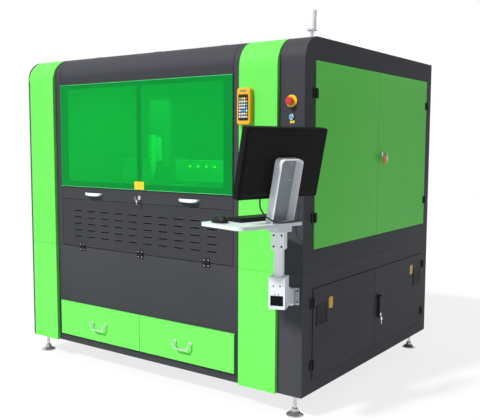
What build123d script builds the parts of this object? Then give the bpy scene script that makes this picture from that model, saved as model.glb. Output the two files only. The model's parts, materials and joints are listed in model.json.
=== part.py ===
from build123d import *
from math import cos, sin, tan, radians
import os

os.makedirs("parts", exist_ok=True)

# Cabinet
cab_w = 2069.0
cab_d = 1642.0
cab_h = 1900.0
skirt_z = 116.0  # underside of the base above the floor
seam_z = 737.0  # joint between the base and the upper enclosure
corner_r = 120.0  # rounded top front corner
sheet = 3.0
gap = 3.0  # round every door, cover, flap and drawer
seam = 1.0  # between fixed sheets
jamb = 60.0  # depth of the folds beside the cover
roof_lap = 12.0  # the curved sheets run this far back before the flat roof starts

# Front, from left to right: edge strip, pillar, strip, cover, strip, pillar, band
edge_w = 32.0
pillar_w = 230.0
strip_w = 47.0
band_w = 143.0
pillar_proud = 21.0

# Lift-up cover and its window
cover_z = 1033.0
cover_back = 40.0  # how far the cover runs back over the roof behind its curve
cover_depth = 28.0
window_z0 = 1111.0
window_z1 = 1732.0
pane_t = 6.0
pane_border_side = 64.0
pane_border_top = 28.0
pane_border_bottom = 34.0
mullion_w = 36.0
cover_handle_w = 150.0
cover_handle_from_middle = 375.0
cover_rail_z = 1066.0  # height of the handles and the lock

pull_h = 24.0
pull_out = 26.0
pull_wall = 4.0
pull_bevel = 5.0

# Louvred flap under the cover
flap_depth = 22.0
louvre_cols = 10
louvre_rows = 5
louvre_pitch_x = 117.0
louvre_pitch_z = 40.0
louvre_w = 64.0
louvre_h = 7.0
louvre_top_z = 962.0

# Drawers
drawer_z0 = 166.0
drawer_z1 = 380.0
drawer_margin = 33.0  # from the bay's side to the drawer front
drawer_front_t = 14.0
drawer_box_d = 560.0
drawer_box_h = 150.0
drawer_wall = 2.0
drawer_travel = 480.0
drawer_handle_w = 112.0
drawer_handle_from_middle = 335.0
drawer_handle_z = 276.0
handle_wire_r = 4.5
foot_t = 5.0
pull_off = 24.0
pull_drop = 34.0
slide_t = 13.0

# Doors in the right side
side_door_y0 = 103.0  # from the front plane to the first door edge
side_door_y1 = 1561.0
upper_door_z0 = 853.0
upper_door_z1 = 1785.0
lower_door_z0 = 189.0
lower_door_z1 = 653.0
door_t = 20.0
door_sheet = 2.5
door_proud = 3.0
door_hinge_inset = 160.0  # hinge centre from the upper doors' ends
low_hinge_inset = 72.0
vent_w = 100.0
vent_h = 90.0
vent_from_edge = 42.0
vent_from_top = 100.0
vent_slots = 4
vent_rim = 8.0

# Locks of the side doors, both on the rear leaf
lock_from_seam = 46.0
upper_lock_z = 1321.0
barrel_r = 9.0
barrel_rim = 5.0
barrel_tail = 14.0
face_clear = 0.4  # between a turning rim and the sheet under it
key_t = 2.4
key_w = 22.0
key_out = 34.0
cam_w = 12.0
cam_l = 26.0
cam_t = 3.0
lever_z0 = 351.0
lever_z1 = 489.0
lever_w = 22.0
lever_t = 12.0
hub_r = 10.0
hub_rim = 4.0
ear_t = 3.0
ear_h = 20.0
ear_gap = 0.4

# Butt hinges, all the same
hinge_leaf_w = 24.0
hinge_h = 47.0
hinge_t = 2.5
hinge_r = 5.0
pin_r = 2.5
pin_short = 6.0  # the pin ends this far below the hinge's top
knuckle_gap = 0.25
run = 0.05  # running clearance of a pin, shaft or barrel

# Levelling feet
foot_r = 45.0
foot_inset_x = 70.0
foot_inset_front = 58.0
foot_inset_rear = 92.0
stem_r = 9.0

# Base frame
tube = 44.0
middle_post_x = 372.0  # from the right side to the frame's middle posts

# Bed, rails and slat table
cross_h = 83.0
cross_w = 80.0
bed_beam_w = 100.0
bed_beam_h = 220.0
bed_left = 134.0  # from the left side to the left beam
bed_right = 374.0  # from the right side to the right beam
cross_end = 344.0  # from the right side to the cross beams' ends
cross_ys = (301.0, 821.0, 1421.0)  # cross beams' centres behind the front plane
bed_front = 130.0
bed_length = 1380.0
rail_w = 20.0
rail_h = 20.0
table_front = 160.0
table_d = 960.0
table_bar = 40.0
table_h = 80.0
slat_pitch = 66.0
slat_t = 3.0
slat_top_z = 1012.0
slat_h = 72.0
tooth_pitch = 95.0
tooth_h = 26.0
slat_n = 14
slat_above = 32.0  # the slats' tips over the table frame

# Scrap chute, from the front plane and the floor
chute_rear_top = 1141.0
chute_rear_low = 571.0
chute_front_top = 121.0
chute_front_low = 60.0
chute_side_y0 = 130.0
chute_side_y1 = 560.0
chute_z0 = 400.0
chute_z1 = 890.0

# Gantry, carriage and cutting head
gantry_y = 760.0  # beam's centre behind the front plane
gantry_back = 500.0  # how far the gantry goes back from where it stands
gantry_ahead = 380.0
truck_h = 66.0
truck_l = 220.0
truck_w = 90.0
truck_skirt = 14.0  # how far a truck reaches down beside its rail
beam_d = 110.0
beam_h = 140.0
head_x = 547.0  # head's centre from the left side
head_left = 270.0
head_right = 1000.0
saddle_w = 190.0
saddle_t = 16.0
slide_gap = 1.0
z_box_w = 130.0
z_box_d = 70.0
z_box_h = 440.0
head_r = 32.0
nozzle_r = 14.0
nozzle_tip_z = 1150.0
head_body_h = 285.0
head_plate_w = 96.0
head_plate_t = 14.0
head_down = 120.0
head_up = 60.0

# Compartment behind the right-hand doors
bulkhead_x = 334.0  # from the right side
panel_gap = 6.0
panel_from_front = 321.0
panel_w = 1000.0
panel_z0 = 900.0
panel_z1 = 1600.0
duct_zs = (930.0, 1185.0, 1530.0)
# Rows of devices on the panel: height of the row's foot, row height, depth, widths
panel_rows = (
    (990.0, 170.0, 110.0, (90.0, 90.0, 120.0, 70.0, 70.0, 70.0, 150.0, 120.0)),
    (1245.0, 260.0, 150.0, (110.0, 110.0, 110.0, 200.0, 260.0)),
)
cabinet_box_w = 310.0  # the laser source and the chiller are as wide as each other
cabinet_box_x = 344.0  # from the right side
laser_y = 171.0
laser_d = 640.0
laser_h = 200.0
chiller_y = 881.0
chiller_d = 600.0
chiller_h = 430.0
fan_r = 110.0
fan_in = 40.0

# Exhaust spigot on the back
spigot_r = 100.0
spigot_out = 60.0
spigot_z = 1350.0

# Tower lamp on the roof
lamp_x = 84.0  # from the right side
lamp_y = 205.0  # from the front plane
lamp_base_h = 56.0
lamp_r = 22.5
lamp_lens_h = 92.0

# Controls on the right-hand band
estop_z = 1585.0
estop_ring_r = 30.0
estop_head_r = 20.0
estop_travel = 5.0
start_z = 1508.0
start_ring_r = 14.5
start_head_r = 10.0
start_travel = 3.0
collar_t = 5.0
collar_neck = 12.0
stem_inside = 22.0
mushroom_t = 15.0

# Remote pendant hung on the right-hand pillar
pendant_w = 82.0
pendant_h = 182.0
pendant_t = 30.0
pendant_z = 1564.0
pendant_from_edge = 48.0

# Workstation arm
arm_in = 49.0  # hinge pin from the cabinet's right side
arm_out = 24.0  # hinge pin from the front plane
arm_len = 265.0
arm_lean = 19.0  # degrees from straight ahead, towards the right
arm_z = 598.0
arm_h = 66.0
arm_w = 30.0
barrel_out_r = 15.0
wall_plate_w = 66.0
wall_plate_t = 6.0
wall_hole_r = 4.5
lug_t = 9.0
arm_pin_r = 8.0
socket_w = 76.0
socket_z0 = 636.0
socket_z1 = 781.0
socket_wall = 6.0
socket_foot = 62.0  # height of the socket's open foot
socket_rim = 14.0
post_w = 40.0
clamp_w = 60.0
clamp_z0 = 906.0
clamp_z1 = 985.0
swivel_pin_r = 10.0
swivel_h = 24.0
swivel_w = 80.0

# Tray, monitor and what stands on the tray
tray_turn = 75.6  # degrees from +X to the tray's long side
tray_z = 1025.0
tray_near = 271.0
tray_far = 120.0
tray_back = 42.0
tray_ahead = 242.0
tray_lip = 15.0
tray_sheet = 2.5
tray_corner_r = 30.0
back_lean = 12.6  # degrees
channel_w = 130.0
channel_flange = 45.0
channel_t = 3.0
vesa = 75.0
vesa_y = 235.0
channel_len = 300.0
channel_foot = 22.0  # web's front face ahead of the swivel axis
monitor_w = 487.0
monitor_h = 320.0
monitor_t = 42.0
monitor_bulge = 12.0
monitor_low = 111.0  # monitor's lower edge up the channel
keyboard_w = 262.0
keyboard_d = 112.0
keyboard_t = 12.0
keyboard_at = (-15.0, 150.0)
key_rows = 5
key_row_pitch = 20.0
key_rise = 4.0
mouse_l = 104.0
mouse_w = 60.0
mouse_h = 33.0
mouse_at = (-212.0, 165.0)
cable_d = 7.0
lead_d = 4.5

# The workstation's reach past the cabinet settles where the origin is:
# on the floor, under the middle of the whole outline
turn_c = cos(radians(tray_turn))
turn_s = sin(radians(tray_turn))
lean_s = sin(radians(back_lean))
lean_c = cos(radians(back_lean))
post_right = arm_len * sin(radians(arm_lean)) - arm_in
post_ahead = arm_len * cos(radians(arm_lean)) + arm_out
monitor_top = (monitor_low + monitor_h) * lean_s - channel_foot
over_right = post_right + monitor_w / 2 * turn_c + monitor_top * turn_s
over_front = post_ahead + tray_near * turn_s + tray_corner_r * (turn_c - 1) / 2
cab_x = -over_right / 2
cab_y = (over_front - spigot_out) / 2

x_left = cab_x - cab_w / 2
x_right = cab_x + cab_w / 2
y_front = cab_y - cab_d / 2
y_rear = cab_y + cab_d / 2

left_pillar_x = x_left + edge_w
bay_x0 = left_pillar_x + pillar_w
right_pillar_x = x_right - band_w - pillar_w
bay_x1 = right_pillar_x
bay_mid = (bay_x0 + bay_x1) / 2
band_x = x_right - band_w
cover_x0 = bay_x0 + strip_w + gap
cover_x1 = bay_x1 - strip_w - gap
cover_end_y = y_front + corner_r + cover_back
roof_y = y_front + corner_r + roof_lap


def block(x0, x1, y0, y1, z0, z1, mode=Mode.ADD):
    """A straight-sided block between three pairs of limits."""
    with Locations(((x0 + x1) / 2, (y0 + y1) / 2, (z0 + z1) / 2)):
        Box(x1 - x0, y1 - y0, z1 - z0, mode=mode)


def wrap(x0, x1, z0, depth, end_y, inset=0.0, mode=Mode.ADD):
    """A band from x0 to x1 that rises up the front and bends back along the roof.
    Its outer face lies on the cabinet's front and top, or inset from them."""
    front = y_front + inset
    top = cab_h - inset
    radius = corner_r - inset
    with BuildSketch(Plane.YZ.offset(x0)) as face:
        with BuildLine():
            Line((front, z0), (front, top - radius))
            TangentArc((front, top - radius), (front + radius, top), tangent=(0, 1))
            Polyline((front + radius, top), (end_y, top), (end_y, top - depth), (front + radius, top - depth))
            TangentArc((front + radius, top - depth), (front + depth, top - radius), tangent=(-1, 0))
            Polyline((front + depth, top - radius), (front + depth, z0), (front, z0))
        make_face()
    extrude(face.sketch, amount=x1 - x0, mode=mode)


# Base frame: welded square tube, with the floor sheet on its lower rails
post_xs = [x_left + sheet + seam, x_right - middle_post_x, x_right - sheet - seam - tube]
post_ys = [y_front + sheet + seam, y_rear - sheet - seam - tube]
frame_z0 = skirt_z + sheet
frame_top = seam_z - seam
with BuildPart() as base_frame:
    for x in post_xs:
        for y in post_ys:
            block(x, x + tube, y, y + tube, frame_z0, frame_top)
    for y in post_ys:
        for x0, x1 in zip(post_xs, post_xs[1:]):
            block(x0 + tube, x1, y, y + tube, frame_z0, frame_z0 + tube)
            block(x0 + tube, x1, y, y + tube, frame_top - tube, frame_top)
    for x in post_xs:
        block(x, x + tube, post_ys[0] + tube, post_ys[1], frame_z0, frame_z0 + tube)
        block(x, x + tube, post_ys[0] + tube, post_ys[1], frame_top - tube, frame_top)
    block(x_left + sheet, x_right - sheet, y_front + sheet, y_rear - sheet, skirt_z, frame_z0)
base_frame.part.label = "base_frame"
export_step(base_frame.part, "parts/base_frame.step")

# Front sheet of the base, open where the drawers go in
drawer_x0 = bay_x0 + drawer_margin
drawer_x1 = bay_x1 - drawer_margin
cutout_in = 14.0  # the drawer fronts overlap the cut-out by this much
with BuildPart() as base_front_panel:
    block(left_pillar_x, band_x, y_front, y_front + sheet, skirt_z, seam_z - seam)
    block(
        drawer_x0 + cutout_in,
        drawer_x1 - cutout_in,
        y_front,
        y_front + sheet,
        drawer_z0 + cutout_in,
        drawer_z1 - cutout_in,
        mode=Mode.SUBTRACT,
    )
base_front_panel.part.label = "base_front_panel"
export_step(base_front_panel.part, "parts/base_front_panel.step")

# Side sheets of the base and the enclosure on the left, each with a folded front edge
with BuildPart() as left_side_panels:
    block(x_left, x_left + sheet, y_front, y_rear, skirt_z, seam_z - seam)
    block(x_left + sheet, left_pillar_x - seam, y_front, y_front + sheet, skirt_z, seam_z - seam)
    wrap(x_left, left_pillar_x - seam, seam_z, sheet, roof_y)
    with BuildSketch(Plane.YZ.offset(x_left)):
        with BuildLine():
            Line((y_front, seam_z), (y_front, cab_h - corner_r))
            TangentArc((y_front, cab_h - corner_r), (y_front + corner_r, cab_h), tangent=(0, 1))
            Polyline((y_front + corner_r, cab_h), (y_rear, cab_h), (y_rear, seam_z), (y_front, seam_z))
        make_face()
    extrude(amount=sheet)
left_side_panels.part.label = "left_side_panels"
export_step(left_side_panels.part, "parts/left_side_panels.step")

# Right side: the same sheets, with a doorway in each and a wide band folded to the front
door_y0 = y_front + side_door_y0
door_y1 = y_front + side_door_y1
door_mid = (door_y0 + door_y1) / 2
with BuildPart() as base_right_panel:
    block(x_right - sheet, x_right, y_front, y_rear, skirt_z, seam_z - seam)
    block(band_x + seam, x_right - sheet, y_front, y_front + sheet, skirt_z, seam_z - seam)
    block(
        x_right - sheet,
        x_right,
        door_y0 - gap,
        door_y1 + gap,
        lower_door_z0 - gap,
        lower_door_z1 + gap,
        mode=Mode.SUBTRACT,
    )
base_right_panel.part.label = "base_right_panel"
export_step(base_right_panel.part, "parts/base_right_panel.step")

band_mid = (band_x + x_right) / 2
with BuildPart() as right_side_panel:
    wrap(band_x + seam, x_right, seam_z, sheet, roof_y)
    with BuildSketch(Plane.YZ.offset(x_right - sheet)):
        with BuildLine():
            Line((y_front, seam_z), (y_front, cab_h - corner_r))
            TangentArc((y_front, cab_h - corner_r), (y_front + corner_r, cab_h), tangent=(0, 1))
            Polyline((y_front + corner_r, cab_h), (y_rear, cab_h), (y_rear, seam_z), (y_front, seam_z))
        make_face()
    extrude(amount=sheet)
    block(
        x_right - sheet,
        x_right,
        door_y0 - gap,
        door_y1 + gap,
        upper_door_z0 - gap,
        upper_door_z1 + gap,
        mode=Mode.SUBTRACT,
    )
    for z, r in ((estop_z, estop_head_r / 2), (start_z, start_head_r)):
        with Locations(Location((band_mid, y_front + sheet / 2, z), (90, 0, 0))):
            Cylinder(r + 1, sheet, mode=Mode.SUBTRACT)
right_side_panel.part.label = "right_side_panel"
export_step(right_side_panel.part, "parts/right_side_panel.step")

# Back sheets: base and enclosure, with air slots low down and the exhaust hole above
slot_n = 8
slot_pitch = 60.0
with BuildPart() as rear_panels:
    block(x_left + sheet, x_right - sheet, y_rear - sheet, y_rear, skirt_z, seam_z - seam)
    block(x_left + sheet, x_right - sheet, y_rear - sheet, y_rear, seam_z, cab_h)
    for side in (-1, 1):
        with Locations(Location((cab_x + side * cab_w / 4, y_rear - sheet / 2, (skirt_z + seam_z) / 2), (90, 0, 0))):
            with GridLocations(1, slot_pitch / 2, 1, slot_n):
                Box(320, 10, 2 * sheet, mode=Mode.SUBTRACT)
    with Locations(Location((cab_x, y_rear - sheet / 2, spigot_z), (90, 0, 0))):
        Cylinder(spigot_r - 1.5, 2 * sheet, mode=Mode.SUBTRACT)
rear_panels.part.label = "rear_panels"
export_step(rear_panels.part, "parts/rear_panels.step")

# Roof: the whole top behind the front curve, cut back where the cover lifts
with BuildPart() as roof_panel:
    block(x_left + sheet, x_right - sheet, roof_y + seam, y_rear - sheet, cab_h - sheet, cab_h)
    block(
        cover_x0 - gap,
        cover_x1 + gap,
        roof_y,
        cover_end_y + gap,
        cab_h - sheet,
        cab_h,
        mode=Mode.SUBTRACT,
    )
roof_panel.part.label = "roof_panel"
export_step(roof_panel.part, "parts/roof_panel.step")

# Dark front sheets each side of the cover: they run behind the pillars, with a jamb at the cover
with BuildPart() as front_strips:
    for x0, x1, edge in (
        (left_pillar_x, cover_x0 - gap, cover_x0 - gap - sheet),
        (cover_x1 + gap, band_x, cover_x1 + gap),
    ):
        wrap(x0, x1, seam_z, sheet, roof_y)
        wrap(edge, edge + sheet, seam_z, jamb, roof_y)
front_strips.part.label = "front_strips"
export_step(front_strips.part, "parts/front_strips.step")


# Pillar covers: green sheets that stand proud of the front and run flush into the roof
def pillar(x0):
    """One pillar's two covers, an upper one that follows the curve and a straight lower one."""
    x1 = x0 + pillar_w
    proud_y = y_front - pillar_proud
    big_r = corner_r + pillar_proud
    with BuildPart() as covers:
        with BuildSketch(Plane.YZ.offset(x0)):
            with BuildLine():
                Line((proud_y, seam_z), (proud_y, cab_h - big_r))
                TangentArc((proud_y, cab_h - big_r), (y_front + corner_r, cab_h), tangent=(0, 1))
                TangentArc((y_front + corner_r, cab_h), (y_front, cab_h - corner_r), tangent=(-1, 0))
                Polyline((y_front, cab_h - corner_r), (y_front, seam_z), (proud_y, seam_z))
            make_face()
        extrude(amount=pillar_w)
        block(x0, x1, proud_y, y_front, skirt_z, seam_z - seam)
        block(x0 + sheet, x1 - sheet, proud_y + sheet, y_front, skirt_z, seam_z - seam, mode=Mode.SUBTRACT)
        block(x0 + sheet, x1 - sheet, proud_y + sheet, y_front, seam_z, cab_h - big_r, mode=Mode.SUBTRACT)
    return covers.part


left_pillar_covers = pillar(left_pillar_x)
left_pillar_covers.label = "left_pillar_covers"
export_step(left_pillar_covers, "parts/left_pillar_covers.step")

right_pillar_covers = pillar(right_pillar_x)
right_pillar_covers.label = "right_pillar_covers"
export_step(right_pillar_covers, "parts/right_pillar_covers.step")

# Levelling feet: a turned disc, a domed collar and a threaded stem with its lock nut
foot_xs = [x_left + foot_inset_x, x_right - foot_inset_x]
foot_ys = [y_front + foot_inset_front, y_rear - foot_inset_rear]
with BuildPart() as levelling_feet:
    for x in foot_xs:
        for y in foot_ys:
            with BuildSketch(Plane(origin=(x, y, 0), x_dir=(1, 0, 0), z_dir=(0, -1, 0))):
                with BuildLine():
                    Polyline((0, 0), (foot_r, 0), (foot_r, 6))
                    Line((foot_r, 6), (20, 22))
                    Polyline((20, 22), (16, 36), (stem_r, 40), (stem_r, skirt_z - 14))
                    Polyline((stem_r, skirt_z - 14), (15, skirt_z - 14), (15, skirt_z), (0, skirt_z), (0, 0))
                make_face()
            revolve(axis=Axis((x, y, 0), (0, 0, 1)))
levelling_feet.part.label = "levelling_feet"
export_step(levelling_feet.part, "parts/levelling_feet.step")


# Hinges: a fixed leaf with the pin, and a moving leaf whose knuckle turns on it.
# Each place is the pin's centre, the pin's direction and the way out of the surface.
def hinge_plane(place):
    """A plane at the pin: local Z along the pin, local Y out of the surface."""
    centre, along, out = place
    x_dir = Vector(*out).cross(Vector(*along))
    return Plane(origin=centre, x_dir=x_dir, z_dir=along)


leaf_start = hinge_r + 0.4  # the plates stop short of the other leaf's knuckle


def leaf_plate(plane, side, knuckle_z0, knuckle_z1):
    """A leaf on local +X or -X: a knuckle and its neck over one stretch, the plate over all."""
    with BuildSketch(plane.offset(knuckle_z0)) as face:
        Circle(hinge_r)
        with Locations((side * (leaf_start + 1) / 2, hinge_t / 2 - hinge_r)):
            Rectangle(leaf_start + 1, hinge_t)
    extrude(face.sketch, amount=knuckle_z1 - knuckle_z0)
    with BuildSketch(plane.offset(-hinge_h / 2)) as face:
        with Locations((side * (leaf_start + hinge_leaf_w) / 2, hinge_t / 2 - hinge_r)):
            Rectangle(hinge_leaf_w - leaf_start, hinge_t)
    extrude(face.sketch, amount=hinge_h)


def fixed_leaf(place, side):
    """The leaf with the lower knuckle, which holds the pin."""
    plane = hinge_plane(place)
    leaf_plate(plane, side, -hinge_h / 2, -knuckle_gap)
    with BuildSketch(plane.offset(-hinge_h / 2)) as face:
        Circle(pin_r)
    extrude(face.sketch, amount=hinge_h - pin_short)


def moving_leaf(place, side):
    """The leaf with the upper knuckle, bored for the pin."""
    plane = hinge_plane(place)
    leaf_plate(plane, side, knuckle_gap, hinge_h / 2)
    with BuildSketch(plane.offset(knuckle_gap)) as face:
        Circle(pin_r + run)
    extrude(face.sketch, amount=hinge_h / 2 - knuckle_gap - pin_short / 2, mode=Mode.SUBTRACT)


# Doors' pins stand beside the doors' outer edges, the leaves lie on the door and the side sheet
door_face_x = x_right + door_proud
pin_x = door_face_x + hinge_r
front_pin_y = door_y0 - gap / 2
rear_pin_y = door_y1 + gap / 2
up = (0, 0, 1)
out_right = (1, 0, 0)
out_front = (0, -1, 0)
upper_hinge_zs = [upper_door_z0 + door_hinge_inset, upper_door_z1 - door_hinge_inset]
lower_hinge_zs = [lower_door_z0 + low_hinge_inset, lower_door_z1 - low_hinge_inset]
flap_pin_y = y_front - hinge_r
flap_hinge_from_middle = 490.0
flap_hinge_xs = [bay_mid - flap_hinge_from_middle, bay_mid, bay_mid + flap_hinge_from_middle]
cover_hinge_xs = [bay_mid - flap_hinge_from_middle, bay_mid, bay_mid + flap_hinge_from_middle]
cover_pin_y = cover_end_y + gap / 2
cover_pin_z = cab_h + hinge_r
flap_pin_z = seam_z + gap / 2
front_door_places = [((pin_x, front_pin_y, z), up, out_right) for z in upper_hinge_zs + lower_hinge_zs]
rear_door_places = [((pin_x, rear_pin_y, z), up, out_right) for z in upper_hinge_zs + lower_hinge_zs]
flap_places = [((x, flap_pin_y, flap_pin_z), (1, 0, 0), out_front) for x in flap_hinge_xs]
cover_places = [((x, cover_pin_y, cover_pin_z), (1, 0, 0), up) for x in cover_hinge_xs]
# A fixed leaf lies towards the front, the back, the ground and the back
with BuildPart() as hinge_leaves:
    for place in front_door_places:
        fixed_leaf(place, 1)
    for place in rear_door_places + flap_places:
        fixed_leaf(place, -1)
    for place in cover_places:
        fixed_leaf(place, 1)
    # A packing strip brings each side hinge out to the proud door's face
    for y0 in (front_pin_y - hinge_leaf_w, rear_pin_y + leaf_start):
        for z in upper_hinge_zs + lower_hinge_zs:
            block(x_right, door_face_x, y0, y0 + hinge_leaf_w - leaf_start, z - hinge_h / 2, z + hinge_h / 2)
hinge_leaves.part.label = "hinge_leaves"
export_step(hinge_leaves.part, "parts/hinge_leaves.step")


# Side doors: pressed pans, each with its two moving hinge leaves
lock_y = door_mid + lock_from_seam


def door(y0, y1, z0, z1, places, side):
    """A door pan between two heights; side says which way its moving leaves lie from the pin."""
    block(door_face_x - door_t, door_face_x, y0, y1, z0, z1)
    block(
        door_face_x - door_t,
        door_face_x - door_sheet,
        y0 + door_sheet,
        y1 - door_sheet,
        z0 + door_sheet,
        z1 - door_sheet,
        mode=Mode.SUBTRACT,
    )
    for place in places:
        moving_leaf(place, side)


def vent(y0):
    """Four air slots in a lower door."""
    slot_pitch_z = vent_h / vent_slots
    for row in range(vent_slots):
        z = lower_door_z1 - vent_from_top - (row + 0.5) * slot_pitch_z
        block(
            door_face_x - door_t,
            door_face_x + 1,
            y0 + vent_rim,
            y0 + vent_w - vent_rim,
            z - slot_pitch_z / 4,
            z + slot_pitch_z / 4,
            mode=Mode.SUBTRACT,
        )


def side_hole(y, z, r):
    """A round hole through a door's sheet."""
    with BuildSketch(Plane(origin=(door_face_x + 1, y, z), x_dir=(0, 1, 0), z_dir=(1, 0, 0))) as face:
        Circle(r)
    extrude(face.sketch, amount=-2 * door_sheet - 1, mode=Mode.SUBTRACT)


with BuildPart() as upper_front_door:
    door(door_y0, door_mid - gap / 2, upper_door_z0, upper_door_z1, front_door_places[:2], -1)
upper_front_door.part.label = "upper_front_door"
export_step(upper_front_door.part, "parts/upper_front_door.step")

with BuildPart() as upper_rear_door:
    door(door_mid + gap / 2, door_y1, upper_door_z0, upper_door_z1, rear_door_places[:2], 1)
    side_hole(lock_y, upper_lock_z, barrel_r + run)
upper_rear_door.part.label = "upper_rear_door"
export_step(upper_rear_door.part, "parts/upper_rear_door.step")

with BuildPart() as lower_front_door:
    door(door_y0, door_mid - gap / 2, lower_door_z0, lower_door_z1, front_door_places[2:], -1)
    vent(door_y0 + vent_from_edge)
lower_front_door.part.label = "lower_front_door"
export_step(lower_front_door.part, "parts/lower_front_door.step")

with BuildPart() as lower_rear_door:
    door(door_mid + gap / 2, door_y1, lower_door_z0, lower_door_z1, rear_door_places[2:], 1)
    vent(door_y1 - vent_from_edge - vent_w)
    side_hole(lock_y, lever_z1 - lever_w / 2, hub_r + run)
lower_rear_door.part.label = "lower_rear_door"
export_step(lower_rear_door.part, "parts/lower_rear_door.step")


# Key locks: a barrel through the sheet with a rim outside, a cam inside and the key left in
def lock_barrel(plane, sheet_t):
    """A barrel on a plane whose Z points out of the surface, with its key and cam."""
    with BuildSketch(plane.offset(-sheet_t - barrel_tail)) as face:
        Circle(barrel_r)
    extrude(face.sketch, amount=sheet_t + barrel_tail)
    with BuildSketch(plane.offset(face_clear)) as face:
        Circle(barrel_r + 3)
    extrude(face.sketch, amount=barrel_rim)
    with BuildSketch(plane) as face:
        Circle(barrel_r)
    extrude(face.sketch, amount=face_clear)
    with BuildSketch(plane.offset(barrel_rim)) as face:
        Rectangle(key_t, key_w / 2)
    extrude(face.sketch, amount=key_out / 2)
    with BuildSketch(plane.offset(barrel_rim + key_out / 2)) as face:
        RectangleRounded(key_t, key_w, key_t / 2 - 0.05)
    extrude(face.sketch, amount=key_out / 2)
    with BuildSketch(plane.offset(-sheet_t - barrel_tail)) as face:
        with Locations((0, -cam_l / 2)):
            Rectangle(cam_w, cam_l)
    extrude(face.sketch, amount=-cam_t)


with BuildPart() as upper_key:
    lock_barrel(
        Plane(origin=(door_face_x, lock_y, upper_lock_z), x_dir=(0, 1, 0), z_dir=(1, 0, 0)),
        door_sheet,
    )
upper_key.part.label = "upper_key"
export_step(upper_key.part, "parts/upper_key.step")

# Swing handle of the lower doors: a hub that turns, and a lever that lifts out of it first
lever_x0 = door_face_x + face_clear + hub_rim
lever_pin_z = lever_z1 - lever_w / 2
with BuildPart() as handle_hub:
    hub_plane = Plane(origin=(door_face_x, lock_y, lever_pin_z), x_dir=(0, 1, 0), z_dir=(1, 0, 0))
    with BuildSketch(hub_plane.offset(-door_sheet - barrel_tail)):
        Circle(hub_r)
    extrude(amount=door_sheet + barrel_tail + face_clear)
    with BuildSketch(hub_plane.offset(face_clear)):
        Circle(hub_r + 3)
    extrude(amount=hub_rim)
    for side in (-1, 1):
        y = lock_y + side * (lever_w / 2 + ear_gap)
        block(
            lever_x0,
            lever_x0 + lever_t,
            min(y, y + side * ear_t),
            max(y, y + side * ear_t),
            lever_pin_z - ear_h / 2,
            lever_pin_z + ear_h / 2,
        )
    block(
        lever_x0 - 1,
        lever_x0,
        lock_y - lever_w / 2 - ear_gap - ear_t,
        lock_y + lever_w / 2 + ear_gap + ear_t,
        lever_pin_z - ear_h / 2,
        lever_pin_z + ear_h / 2,
    )
    with BuildSketch(Plane(origin=(lever_x0 + lever_t / 2, lock_y, lever_pin_z), x_dir=(1, 0, 0), z_dir=(0, 1, 0))):
        Circle(pin_r)
    extrude(amount=lever_w / 2 + ear_gap + ear_t / 2, both=True)
handle_hub.part.label = "handle_hub"
export_step(handle_hub.part, "parts/handle_hub.step")

with BuildPart() as lower_handle:
    with BuildSketch(Plane(origin=(lever_x0 + lever_t / 2, lock_y, 0), x_dir=(0, 1, 0), z_dir=(1, 0, 0))):
        with Locations((0, (lever_z0 + lever_z1) / 2)):
            RectangleRounded(lever_w, lever_z1 - lever_z0, lever_w / 2 - 1)
    extrude(amount=lever_t / 2 - ear_gap, both=True)
    with BuildSketch(Plane(origin=(lever_x0 + lever_t / 2, lock_y, lever_pin_z), x_dir=(1, 0, 0), z_dir=(0, 1, 0))):
        Circle(pin_r + run)
    extrude(amount=lever_w, both=True, mode=Mode.SUBTRACT)
    # The root is rounded so that it turns clear of the hub
    with BuildSketch(Plane(origin=(lever_x0 + lever_t / 2, lock_y, lever_pin_z), x_dir=(1, 0, 0), z_dir=(0, 1, 0))):
        with Locations((0, -lever_w)):
            Rectangle(3 * lever_t, 2 * lever_w)
        Circle(lever_t / 2 - ear_gap, mode=Mode.SUBTRACT)
    extrude(amount=lever_w, both=True, mode=Mode.SUBTRACT)
lower_handle.part.label = "lower_handle"
export_step(lower_handle.part, "parts/lower_handle.step")

# Lift-up cover: a pan that follows the top curve, with two window openings and a rail below
pane_mid = (cover_x0 + cover_x1) / 2
cover_bottom = cover_z + gap / 2
with BuildPart() as cover_shell:
    wrap(cover_x0, cover_x1, cover_bottom, cover_depth, cover_end_y)
    wrap(
        cover_x0 + sheet,
        cover_x1 - sheet,
        cover_bottom + sheet,
        cover_depth,
        cover_end_y - sheet,
        inset=sheet,
        mode=Mode.SUBTRACT,
    )
    for x0, x1 in (
        (cover_x0 + pane_border_side, pane_mid - mullion_w / 2),
        (pane_mid + mullion_w / 2, cover_x1 - pane_border_side),
    ):
        block(
            x0,
            x1,
            y_front - 1,
            y_front + sheet + 1,
            window_z0 + pane_border_bottom,
            window_z1 - pane_border_top,
            mode=Mode.SUBTRACT,
        )
    with BuildSketch(Plane(origin=(pane_mid, y_front - 1, cover_rail_z), x_dir=(1, 0, 0), z_dir=(0, -1, 0))):
        Circle(barrel_r + run)
    extrude(amount=-2 * sheet, mode=Mode.SUBTRACT)
    for place in cover_places:
        moving_leaf(place, -1)
cover_shell.part.label = "cover_shell"
export_step(cover_shell.part, "parts/cover_shell.step")

# Two tinted panes lie on the cover and meet over its middle bar
with BuildPart() as window_panes:
    for x0, x1 in ((cover_x0 + 1, pane_mid - 0.5), (pane_mid + 0.5, cover_x1 - 1)):
        block(x0, x1, y_front - pane_t, y_front, window_z0, window_z1)
window_panes.part.label = "window_panes"
export_step(window_panes.part, "parts/window_panes.step")

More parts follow.
